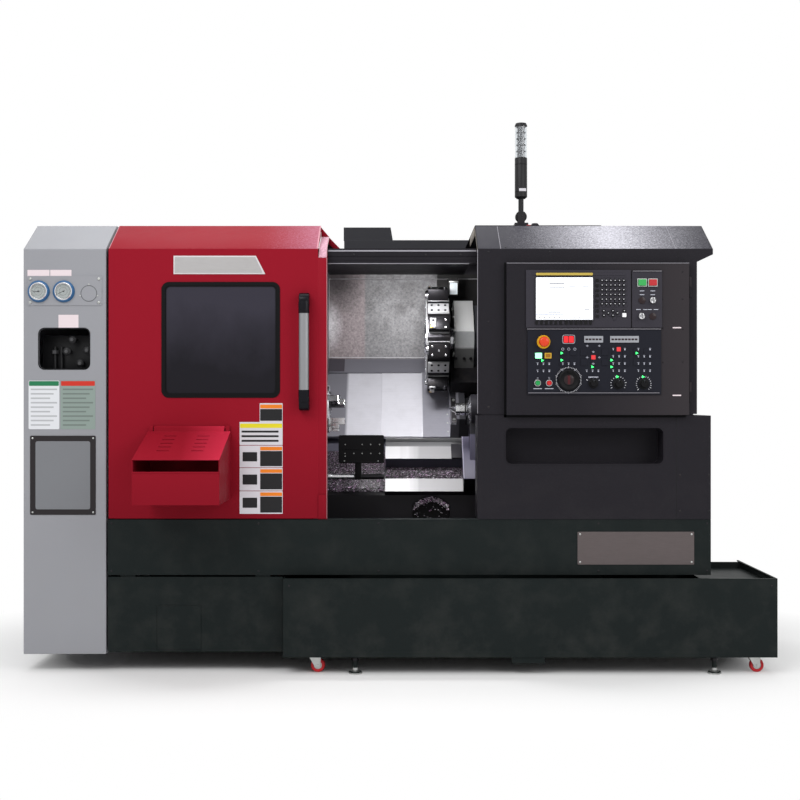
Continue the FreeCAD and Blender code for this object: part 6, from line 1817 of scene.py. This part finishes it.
class LATHE_OT_right_covers(bpy.types.Operator):
    """Brow panels with their painted highlights, seams, screws, recess rim and the painted shadow in the gaps of the
    right-hand covers, and the tray's bare plate
    """
    bl_idname = "lathe.right_covers"
    bl_label = "Right covers"

    gap = (422, 1018)                   # lower left corner of the gap beside and below the panel
    pocket = (424, 1064, 828, 981)      # left, right, foot and top of the recess
    hinge_z = (1120, 1540)
    # pixels of the tray's bare plate, the brow's two seams and the lower screws
    bare_plate = (577.5, 694, 531.7, 564.5)
    seam_columns = (499, 671)
    screw_columns, screw_rows = (680, 709), (475, 511)

    def execute(self, context):
        self.brow()
        self.front()
        self.tray()
        return {"FINISHED"}

    def brow(self):
        work = Work("right_brow")
        x0, x1 = cad("right_cover")[:2]
        middle_depth = 90           # of the brow behind the front plane
        seams = [x0 + 2, *(picture_x(column, middle_depth) for column in self.seam_columns), x1 - 2]
        for left, right in zip(seams, seams[1:]):
            work.keep(box(left + 1.2, right - 1.2, 2.5, BROW_RUN - 2, -0.6, 0.9, 0.5), "right brow", ON_BROW)
        for x in (seams[1] + 20, seams[1] + 205):
            work.keep(button_screw(4.5, 1.6), "black_steel", ON_BROW @ at(x, 16, 0.8))
        for x in seams[1:3]:
            work.keep(box(x - 1.0, x + 1.0, 2.5, BROW_RUN - 2, -0.6, 0.4, 0.2), "seam bead", ON_BROW)
        dark = "charcoal_paint"
        rib = [(COVER_FRONT + 4, EAVE_Z - 2), (BROW_BACK, ROOF_Z - 4), (BROW_BACK, ROOF_Z - 26),
               (COVER_FRONT + 4, EAVE_Z - 26)]
        beige = "inner sheet"
        work.keep(prism(rib, x0 + 1, x0 + 3.5), beige, SWAP)
        work.keep(box(x0 - 1.2, x0 + 1.5, BROW_BACK, -19, ROOF_Z - 46, ROOF_Z - 8, 0.4), beige)
        work.keep(box(x0 + 2, 842, BROW_BACK + 2, BROW_BACK + 42, ROOF_Z - 0.4, ROOF_Z + 3.0, 0.8), dark)
        work.keep(box(534, 552, -330, -306, ROOF_Z - 0.4, ROOF_Z + 8, 2.0), "red_plastic")
        work.keep(turned([(0, 0), (17, 0), (17, 8), (12, 15), (0, 16)], 40), dark, at(570, -318, ROOF_Z - 0.2))
        work.finish("frame", "charcoal_paint")

    def front(self):
        work = Work("right_front_trim")
        x0 = cad("right_cover")[0]
        screws = [(x0 + 44, z) for z in (EAVE_Z - 12, 1400, 1060)] + [(x0 + 290, EAVE_Z - 12)]
        screws += [(picture_x(px), picture_z(py)) for px in self.screw_columns for py in self.screw_rows]
        cover_screws(work, screws, COVER_FRONT)
        work.keep(box(x0 - 0.4, x0 + 1.6, COVER_FRONT - 0.5, COVER_FRONT + 0.6, 1034, EAVE_Z - 2, 0.3), "seam bead")
        work.boxes("dark seam", (
            (1111, 1113, COVER_FRONT - 0.5, COVER_FRONT + 0.3, 614, 1022, 0.1),
            (1117, 1119, COVER_FRONT - 0.5, COVER_FRONT + 0.3, 1640, EAVE_Z - 2, 0.1)))
        # black strips paint the shadow in the gap beside and below the panel
        left, low = self.gap
        for right, high in ((left + 10, low + 620), (left + 728, low + 12)):
            work.keep(box(left, right, COVER_FRONT - 0.5, COVER_FRONT + 0.3, low, high, 0.1), "gap black")
        work.keep(rim_frame(*self.pocket, COVER_FRONT - 1.4, COVER_FRONT + 8, 28, 5), "charcoal_paint")
        for z in self.hinge_z:
            work.keep(box(1158.5, 1167, -552.4, COVER_FRONT + 0.4, z - 39, z - 1, 0.8), "zinc_plate")
        work.finish("frame", "charcoal_paint")

    def tray(self):
        work = Work("tray_trim")
        x0, x1, z0, z1 = pictured(self.bare_plate)
        y = COVER_FRONT
        work.keep(plate(x0, x1, z0, z1, y - 2.4, y + 0.2, 3, 0.6), "badge steel", smooth=False)
        front_screws(work, corners(x0, x1, z0, z1, 10), y - 2.2, 4.0, "zinc_plate")
        left, right = cad("front_tray")[:2]
        work.boxes("green_black_paint", (
            (left + 2, right - 2, y - 0.9, y + 0.4, 388.5, 392, 0.4),
            (left + 2, right - 2, y - 0.9, y + 0.4, 605, 609.5, 0.4)))
        cover_screws(work, [(x, z) for x in (left + 16, -560, -80, 800, right - 16) for z in (404, 594)], y, 1.3)
        work.finish("frame", "green_black_paint")


class LATHE_OT_roof(bpy.types.Operator):
    """Beads and screws of the rail channel, the door's brow with its painted highlight and its pale edges painted as
    highlights, and the fixed gusset with a painted shadow under it
    """
    bl_idname = "lathe.roof"
    bl_label = "Roof and rail"

    def execute(self, context):
        work = Work("rail_trim")
        _, x1, y0, _, z0, z1 = cad("door_rail")
        start = -284                    # left end of the beads, beside the door's corner
        work.boxes("seam bead", (
            (start, x1 - 2, y0 - 1.2, y0 + 3, z1 - 13, z1 - 7, 0.6),
            (start, x1 - 30, y0 + 2.8, y0 + 6, z0 - 3, z0 + 1, 0.5)))
        for x in (-180, 110, 250):
            work.keep(button_screw(5.0, 2.2), "black_steel", facing(x, y0, z1 - 26))
        work.keep(box(start, x1 - 2, y0 - 0.8, y0 + 0.4, z0 + 26, z0 + 29, 0.4), "charcoal_paint")
        work.finish("frame", "charcoal_paint")
        door = Work("door_brow_end")
        right = DOOR_X1 - LIP
        door.keep(box(DOOR_X0 + 1, right - 3, 1.5, BROW_RUN - 1, -0.6, 0.7, 0.4), "door brow", ON_BROW)
        door.boxes("brow edge", (
            (right - 5.5, right + 0.5, 2.0, BROW_RUN - 1, -0.6, 1.4, 0.4),
            (DOOR_X0 + 1, DOOR_X0 + 3.2, 3, BROW_RUN - 3, -0.3, 1.1, 0.3)), ON_BROW)
        door.finish("door", "crimson_paint")
        gusset = Work("brow_gusset")
        y = COVER_FRONT + 200
        left = DOOR_X1 - 14
        foot = ROOF_TOP + 0.2
        strip = [(left, 1776), (left, 1746), (left + 45, foot), (left + 71, foot)]
        gusset.keep(prism(strip, y, y + 3, 0.4), "crimson_paint")
        # black triangle paints the shadow under the gusset strip
        gusset.keep(prism([(left, 1748), (left, foot), (left + 47, foot)], y + 1, y + 4, 0.4), "gap black")
        gusset.finish("frame", "crimson_paint")
        return {"FINISHED"}


class LATHE_OT_tower(bpy.types.Operator):
    """Signal tower: dark body, clear fluted lens over a grey core, black cap and a round pole"""
    bl_idname = "lathe.tower"
    bl_label = "Signal tower"

    def execute(self, context):
        x0, x1, y0, y1, _, z1 = cad("signal_tower")
        x, y = (x0 + x1) / 2, (y0 + y1) / 2
        knuckle, base, lens = 1857.0, 1933.0, z1 - 145
        black = "black_plastic"
        work = Work("signal_tower_smooth")
        barrel = turned([(0, 0), (22, 0), (24, 2), (24, 22), (22, 24), (0, 24)], 48)
        work.keep(barrel, black, at(x, y - 12, knuckle, TO_BACK))
        work.keep(rod(5, 38, 0.6, 24), black, at(x, y - 19, knuckle, TO_BACK))
        work.keep(rod(11, base - knuckle + 1, 0, 40), black, at(x, y, knuckle))
        work.keep(box(x - 10, x + 19, y - 26.4, y - 20, base + 28, base + 40, 0.6), "field pale")
        work.keep(turned([(0, 0), (18, 0), (20, 2), (26, 7), (26, lens - base - 3), (25, lens - base),
                          (0, lens - base)], 56), black, at(x, y, base))
        for height in (26, lens - base - 30):
            work.keep(ring(25.2, 26.1, 3.0, 0.4, 56), "rubber", at(x, y, base + height))
        top = z1 - 14 - lens
        work.keep(turned([(22.5, 0), (25, 0), (25, top), (22.5, top), (22.5, 0)], 56), "clear_lens", at(x, y, lens))
        grey = "lens core"
        work.keep(rod(15, top, 0, 40), grey, at(x, y, lens))
        for row in range(1, 5):
            work.keep(ring(14, 20, 3.0, 0.6, 48), grey, at(x, y, lens + row * top / 5))
        work.keep(turned([(0, 0), (26, 0), (26, 5), (22, 14), (0, 14)], 56), black, at(x, y, z1 - 14))
        work.finish("tower", "clear_lens", ("signal_tower",))
        return {"FINISHED"}


# ---------------------------------------------------------------- tank, castors, feet and rear
class LATHE_OT_base(bpy.types.Operator):
    """Round wheels, forks, jack feet and levelling feet, and the tank's folded edge"""
    bl_idname = "lathe.base"
    bl_label = "Base"

    def execute(self, context):
        for side in ("left", "right"):
            self.castor(side)
        self.tank()
        self.feet()
        return {"FINISHED"}

    def castor(self, side):
        x0, x1, _, y1, z0, z1 = cad("castor_wheel_" + side)
        x, z, radius = (x0 + x1) / 2, (z0 + z1) / 2, (z1 - z0) / 2
        work = Work("wheel_" + side + "_smooth")
        tread = turned([(16, 1), (radius - 3, 0), (radius - 0.6, 2.4), (radius, 5), (radius, 17),
                        (radius - 0.6, 19.6), (radius - 3, 22), (16, 21)], 56)
        work.keep(tread, "red_tread", facing(x, y1, z))
        work.keep(turned([(4.2, 0), (9, 0), (10, 3), (16.4, 3), (16.4, 19), (10, 19), (9, 22), (4.2, 22),
                          (4.2, 0)], 40), "zinc_plate", facing(x, y1, z))
        work.finish("wheel_" + side, "red_tread", ("castor_wheel_" + side,))
        trim = Work("fork_" + side + "_detail")
        _, _, fy0, fy1, _, _ = cad("castor_fork_" + side)
        trim.keep(hexagon(10, 3), "zinc_plate", facing(x, fy0 + 0.2, z))
        trim.keep(rod(13.5, 3.6, 0.6, 40), "zinc_plate", at(x - 20, (fy0 + fy1) / 2, 65.1))
        trim.finish("fork_" + side, "zinc_plate")
        eased("castor_fork_" + side, 0.8)

    def tank(self):
        x0, x1, y0, y1, _, z1 = cad("coolant_tank")
        work = Work("tank_trim")
        work.boxes("green_black_paint", (
            (x0 + 1, x1 - 1, y0 - 1.0, y0 + 8, z1 - 4, z1 + 1.5, 1.0),
            (x1 - 8, x1 + 1.0, y0 + 4, y1 - 4, z1 - 4, z1 + 1.5, 1.0),
            (x0 + 2, x1 - 2, y0 - 0.8, y0 + 0.6, 69.5, 72, 0.5)))
        for x in (-172.0, 1257.0):
            foot = turned([(0, 0), (26, 0), (27, 2), (27, 5), (15, 12), (11, 15), (11, 24), (0, 24)], 48)
            work.keep(foot, "zinc_plate", at(x, y0 + 30, 0))
            work.keep(rod(8.5, 46, 0, 24), "black_steel", at(x, y0 + 30, 23))
            work.keep(hexagon(26, 10), "black_steel", at(x, y0 + 30, 52))
        cover_screws(work, [(x, 352) for x in (x0 + 24, x1 - 24)], y0, 1.4)
        work.finish("tank", "green_black_paint")

    def feet(self):
        x0, x1, y0, y1, _, z1 = cad("levelling_feet")
        work = Work("levelling_feet_smooth")
        steel, dark = "zinc_plate", "black_steel"
        for x in (x0 + 60, (x0 + x1) / 2, x1 - 60):
            for y in (y0 + 60, y1 - 60):
                work.keep(turned([(0, 0), (58, 0), (60, 2), (60, 12), (30, 26), (0, 26)], 56), dark, at(x, y, 0))
                work.keep(rod(14, z1 - 26, 0, 32), steel, at(x, y, 25))
                work.keep(hexagon(46, 24), dark, at(x, y, z1 - 24))
        work.finish("frame", "black_steel", ("levelling_feet",))


class LATHE_OT_rear(bpy.types.Operator):
    """Louvres, grilles, glands, handle and bare plate on the rear cabinet and the drive cover"""
    bl_idname = "lathe.rear"
    bl_label = "Rear"

    def execute(self, context):
        z1 = cad("electrical_cabinet")[5]
        back, leaf = 848.0, 868.0       # outer faces of the cabinet and of its door
        work = Work("cabinet_trim")
        paint, dark, zinc = "cabinet_paint", "dark seam", "zinc_plate"
        for row in range(9):
            work.keep(box(-280, 280, -2, 11, -0.8, 0.8, 0.5), paint,
                      at(190, back, 420 + row * 26, Matrix.Rotation(math.radians(-40), 4, "X")))
        # thin dark strips paint the shade inside the grille's slots
        for row in range(10):
            work.keep(box(-240, -70, back - 20.6, back - 18.4, 1884 + row * 4.6, 1886 + row * 4.6, 0.3), dark)
        work.keep(plate(-60, 460, 700, 1700, back - 0.3, back + 1.2, 4, 0.4), paint)
        for x, z in ((-46, 714), (446, 714), (-46, 1686), (446, 1686)):
            work.keep(button_screw(5, 2), zinc, at(x, back + 1.0, z, TO_BACK))
        for i in range(6):
            work.keep(hexagon(28, 10), dark, at(-200 + i * 60, 700, 119.8, HALF_TURN))
        work.finish("frame", "cabinet_paint")
        door = Work("cabinet_door_trim")
        door.keep(rim_frame(530, 1170, 150, z1 - 90, leaf - 1, leaf + 0.6, 10, 6), paint)
        door.keep(box(548, 570, leaf, leaf + 4, 950, 1070, 3.0), "black_plastic")
        door.keep(rod(9, 5, 1.0, 32), zinc, at(559, leaf, 1010, TO_BACK))
        door.keep(plate(700, 900, 1560, 1640, leaf - 0.2, leaf + 1, 6, 0.4), "strip face")
        door.finish("cabinet_door_body", "cabinet_paint")
        drive = Work("drive_cover_trim")
        # dark boxes paint the shade inside the vent slots of the drive cover
        for row in range(5):
            y = -43 + row * 60
            drive.boxes(dark, [(COVER_X0 + 0.5, COVER_X0 + 5, y + 0.5, y + 23.5, z, z + 10, 0.6)
                               for z in range(906, 1196, 29)])
        for y in (COVER_FRONT + 30, 540):
            for z in (130, 900, 1640):
                drive.keep(button_screw(5, 2), zinc,
                           at(COVER_X0, y, z, Matrix.Rotation(math.radians(-90), 4, "Y")))
        drive.finish("frame", "grey_paint")
        return {"FINISHED"}


# ---------------------------------------------------------------- chips
class LATHE_OT_chips(bpy.types.Operator):
    """Curled bright chips on the bed, in the trough, in the arch and in the tray"""
    bl_idname = "lathe.chips"
    bl_label = "Chips"

    # left, right, foot, shoulder and rise of the heap in the arch
    mound = (62.0, 224.0, 542.0, 622.0, 38.0)

    def execute(self, context):
        rng = random.Random(7)
        work = Work("turned_chips")
        tints = ("chip silver", "chip violet", "chip dark")
        self.layers(work)
        count = size_settings().chips
        for index in range(count * 8):
            # chips on the heap in the arch and in the tray are more often silver, painted light on the lit top of the
            # heap
            tint = tints[rng.choice((0, 1, 2, 2, 2) if index % 8 < 5 else (0, 0, 1, 2, 2))]
            spot = self.spot(rng, index % 8)
            turn = Matrix.Rotation(rng.uniform(0, math.tau), 4, "Z") @ Matrix.Rotation(rng.uniform(-0.9, 0.9), 4, "X")
            long, wide = rng.uniform(4, 10), rng.uniform(1.6, 3.2)
            part = bmesh.new()
            bmesh.ops.create_grid(part, x_segments=3, y_segments=1, size=0.5)
            bmesh.ops.scale(part, vec=(long, wide, 1), verts=part.verts)
            for vert in part.verts:
                vert.co.z = 2.4 * math.cos(vert.co.x / long * math.pi)
            work.keep(part, tint, Matrix.Translation(spot) @ turn)
        work.finish("frame", "bed_casting")
        return {"FINISHED"}

    def layers(self, work):
        """Fine chips lying as one layer on the slope and in the trough, and a black heap in the arch that paints the
        shadow inside it.
        """
        bed = "swarf bed"
        work.keep(box(-330, -61, -232, 10, -285.2, -283.8, 0.4), bed, SLANT)
        heap = [(-137.2, -354.8), (-57.8, -354.8), (-57.8, -318), (-74, -319), (-118, -347)]
        work.keep(prism(heap, -59, 590, 0.0), bed, SLANT_RUN)
        x0, x1, foot, shoulder, rise = self.mound
        dome = [(x0 + (x1 - x0) * i / 16, shoulder - 8 + (rise - 2) * math.sin(math.pi * i / 16))
                for i in range(17)]
        # black heap that paints the shadow inside the mound of chips in the arch
        work.keep(prism([(x0, foot)] + dome + [(x1, foot)], -13, 16), "catcher black")

    def spot(self, rng, kind):
        """A place for one chip, by the part of the bed it lies on."""
        if kind in (0, 1):
            return SLANT @ Vector((rng.uniform(-330, -64), rng.uniform(-236, -92), -282.5))
        if kind == 2:
            return SLANT @ Vector((rng.uniform(-330, -64), rng.uniform(-238, -212), rng.uniform(-282, -276)))
        if kind in (3, 4):
            u = rng.uniform(-120, -62)
            return SLANT @ Vector((rng.uniform(-52, 275), u, -345.5 + 26 * max(0.0, min(1.0, (u + 118) / 44))))
        if kind in (5, 6):
            x0, x1, foot, shoulder, rise = self.mound
            x = rng.uniform(x0 + 3, x1 - 3)
            top = shoulder + rise * math.sin(math.pi * (x - x0) / (x1 - x0))
            drop = rng.uniform(0, 24) if kind == 5 or rng.random() < 0.7 else (top - foot) * rng.random()
            return Vector((x, rng.uniform(-21, -14), top - drop))
        return Vector((rng.uniform(-320, 300), rng.uniform(-292, -120), 492.5))


# ---------------------------------------------------------------- studio
class LATHE_OT_stage(bpy.types.Operator):
    """Pale floor and backdrop, soft lamps and the camera"""
    bl_idname = "lathe.stage"
    bl_label = "Studio"

    floor_half = 40.0          # half the floor's side, in metres

    def execute(self, context):
        floor = bmesh.new()
        bmesh.ops.create_grid(floor, x_segments=2, y_segments=2, size=self.floor_half)
        mesh = bpy.data.meshes.new("studio_floor")
        floor.to_mesh(mesh)
        floor.free()
        mesh.materials.append(self.backdrop_material())
        piece = bpy.data.objects.new("studio_floor", mesh)
        context.scene.collection.objects.link(piece)
        self.sky(context.scene)
        self.lamps(context.scene)
        self.camera(context.scene)
        return {"FINISHED"}

    def backdrop_material(self):
        """Pale floor that keeps the shadow near the machine and turns to plain white further out."""
        material, tree, shader = start_material("studio white")
        place = object_place(tree)
        far = vector_math(tree, "LENGTH", {0: stretched(tree, place, (0.52, 0.8, 1.0))}, "Value")
        white = math_node(tree, "MULTIPLY", spread(tree, far, 0.75, 1.25), self.seen(tree))
        pale = mixed(tree, spread(tree, noise(tree, place, 0.6, 2.0), 0.3, 0.7, 0.0, 0.05), (0.9, 0.9, 0.9),
                     (0.86, 0.86, 0.86))
        feed(tree, shader, {"Base Color": mixed(tree, white, pale, (0.0, 0.0, 0.0)),
                            "Emission Strength": white, "Emission Color": (1, 1, 1), "Roughness": 0.9,
                            "Specular IOR Level": 0.0})
        return material

    def seen(self, tree):
        """1 for rays that the camera, a mirror or a pane sends out."""
        path = tree.nodes.new("ShaderNodeLightPath").outputs
        return math_node(tree, "MAXIMUM", path["Is Camera Ray"], math_node(
            tree, "MAXIMUM", path["Is Glossy Ray"], path["Is Transmission Ray"]))

    def sky(self, scene):
        """Even light from all sides that looks white to the camera."""
        scene.world = scene.world or bpy.data.worlds.new("studio")
        scene.world.use_nodes = True
        tree = scene.world.node_tree
        tree.nodes.clear()
        plain_sky, white_sky = (new_node(tree, "Background",
                                         {"Color": (1, 1, 1), "Strength": strength}).outputs[0]
                                for strength in (0.55, 1.0))
        choose = new_node(tree, "MixShader", {0: self.seen(tree), 1: plain_sky, 2: white_sky})
        new_node(tree, "OutputWorld", {"Surface": choose.outputs[0]})

    def lamps(self, scene):
        for name, place, aim, size, power in (
                ("key lamp", (-2.2, -4.2, 4.6), (0.0, -0.4, 0.9), (3.5, 2.5), 135.0),
                ("right lamp", (3.4, -4.0, 3.2), (0.3, -0.4, 0.9), (3.0, 2.5), 72.0),
                ("top lamp", (0.0, 0.2, 4.6), (0.0, -0.2, 1.0), (4.5, 2.5), 90.0),
                ("work lamp", (0.03, -0.30, 1.60), (0.05, 0.16, 1.0), (0.30, 0.12), 8.0)):
            data = bpy.data.lights.new(name, "AREA")
            data.shape = "RECTANGLE"
            data.size, data.size_y = size
            data.energy = power
            lamp = bpy.data.objects.new(name, data)
            lamp.location = place
            lamp.rotation_euler = (Vector(aim) - Vector(place)).to_track_quat("-Z", "Y").to_euler()
            scene.collection.objects.link(lamp)

    def camera(self, scene):
        data = bpy.data.cameras.new("camera")
        data.lens = 56.25
        data.sensor_width = 36.0
        data.clip_end = 60.0
        eye = bpy.data.objects.new("camera", data)
        eye.location = (CAMERA_X * MM, (COVER_FRONT - CAMERA_DISTANCE) * MM, CAMERA_Z * MM)
        eye.rotation_euler = (math.radians(90), 0, 0)
        scene.collection.objects.link(eye)
        scene.camera = eye
        scene.view_settings.view_transform = "Standard"


# ---------------------------------------------------------------- panel and run
STEPS = (
    LATHE_OT_finishes, LATHE_OT_gauges, LATHE_OT_end_cover_trim, LATHE_OT_door, LATHE_OT_handle,
    LATHE_OT_box_trim, LATHE_OT_display, LATHE_OT_key_pad, LATHE_OT_control_face, LATHE_OT_controls,
    LATHE_OT_chuck, LATHE_OT_turret, LATHE_OT_slides, LATHE_OT_tailstock, LATHE_OT_catcher,
    LATHE_OT_right_covers, LATHE_OT_roof, LATHE_OT_tower, LATHE_OT_base, LATHE_OT_rear, LATHE_OT_chips,
    LATHE_OT_stage)


class LATHE_PT_side(bpy.types.Panel):
    """Lists the pieces and their settings"""
    bl_idname = "LATHE_PT_side"
    bl_label = "Lathe"
    bl_space_type = "VIEW_3D"
    bl_region_type = "UI"
    bl_category = "Lathe"

    def draw(self, context):
        for holder in (context.scene.lathe_finish, context.scene.lathe_sizes):
            column = self.layout.column()
            for name in holder.bl_rna.properties.keys():
                if name not in ("rna_type", "name"):
                    column.prop(holder, name)
        for step in STEPS:
            self.layout.operator(step.bl_idname)


CLASSES = (LatheFinish, LatheSizes) + STEPS + (LATHE_PT_side,)


def register():
    for made in CLASSES:
        bpy.utils.register_class(made)
    bpy.types.Scene.lathe_finish = PointerProperty(type=LatheFinish)
    bpy.types.Scene.lathe_sizes = PointerProperty(type=LatheSizes)


def unregister():
    del bpy.types.Scene.lathe_sizes
    del bpy.types.Scene.lathe_finish
    for made in reversed(CLASSES):
        bpy.utils.unregister_class(made)


def main():
    register()
    for step in STEPS:
        group, name = step.bl_idname.split(".")
        getattr(getattr(bpy.ops, group), name)()


if __name__ == "__main__":
    main()
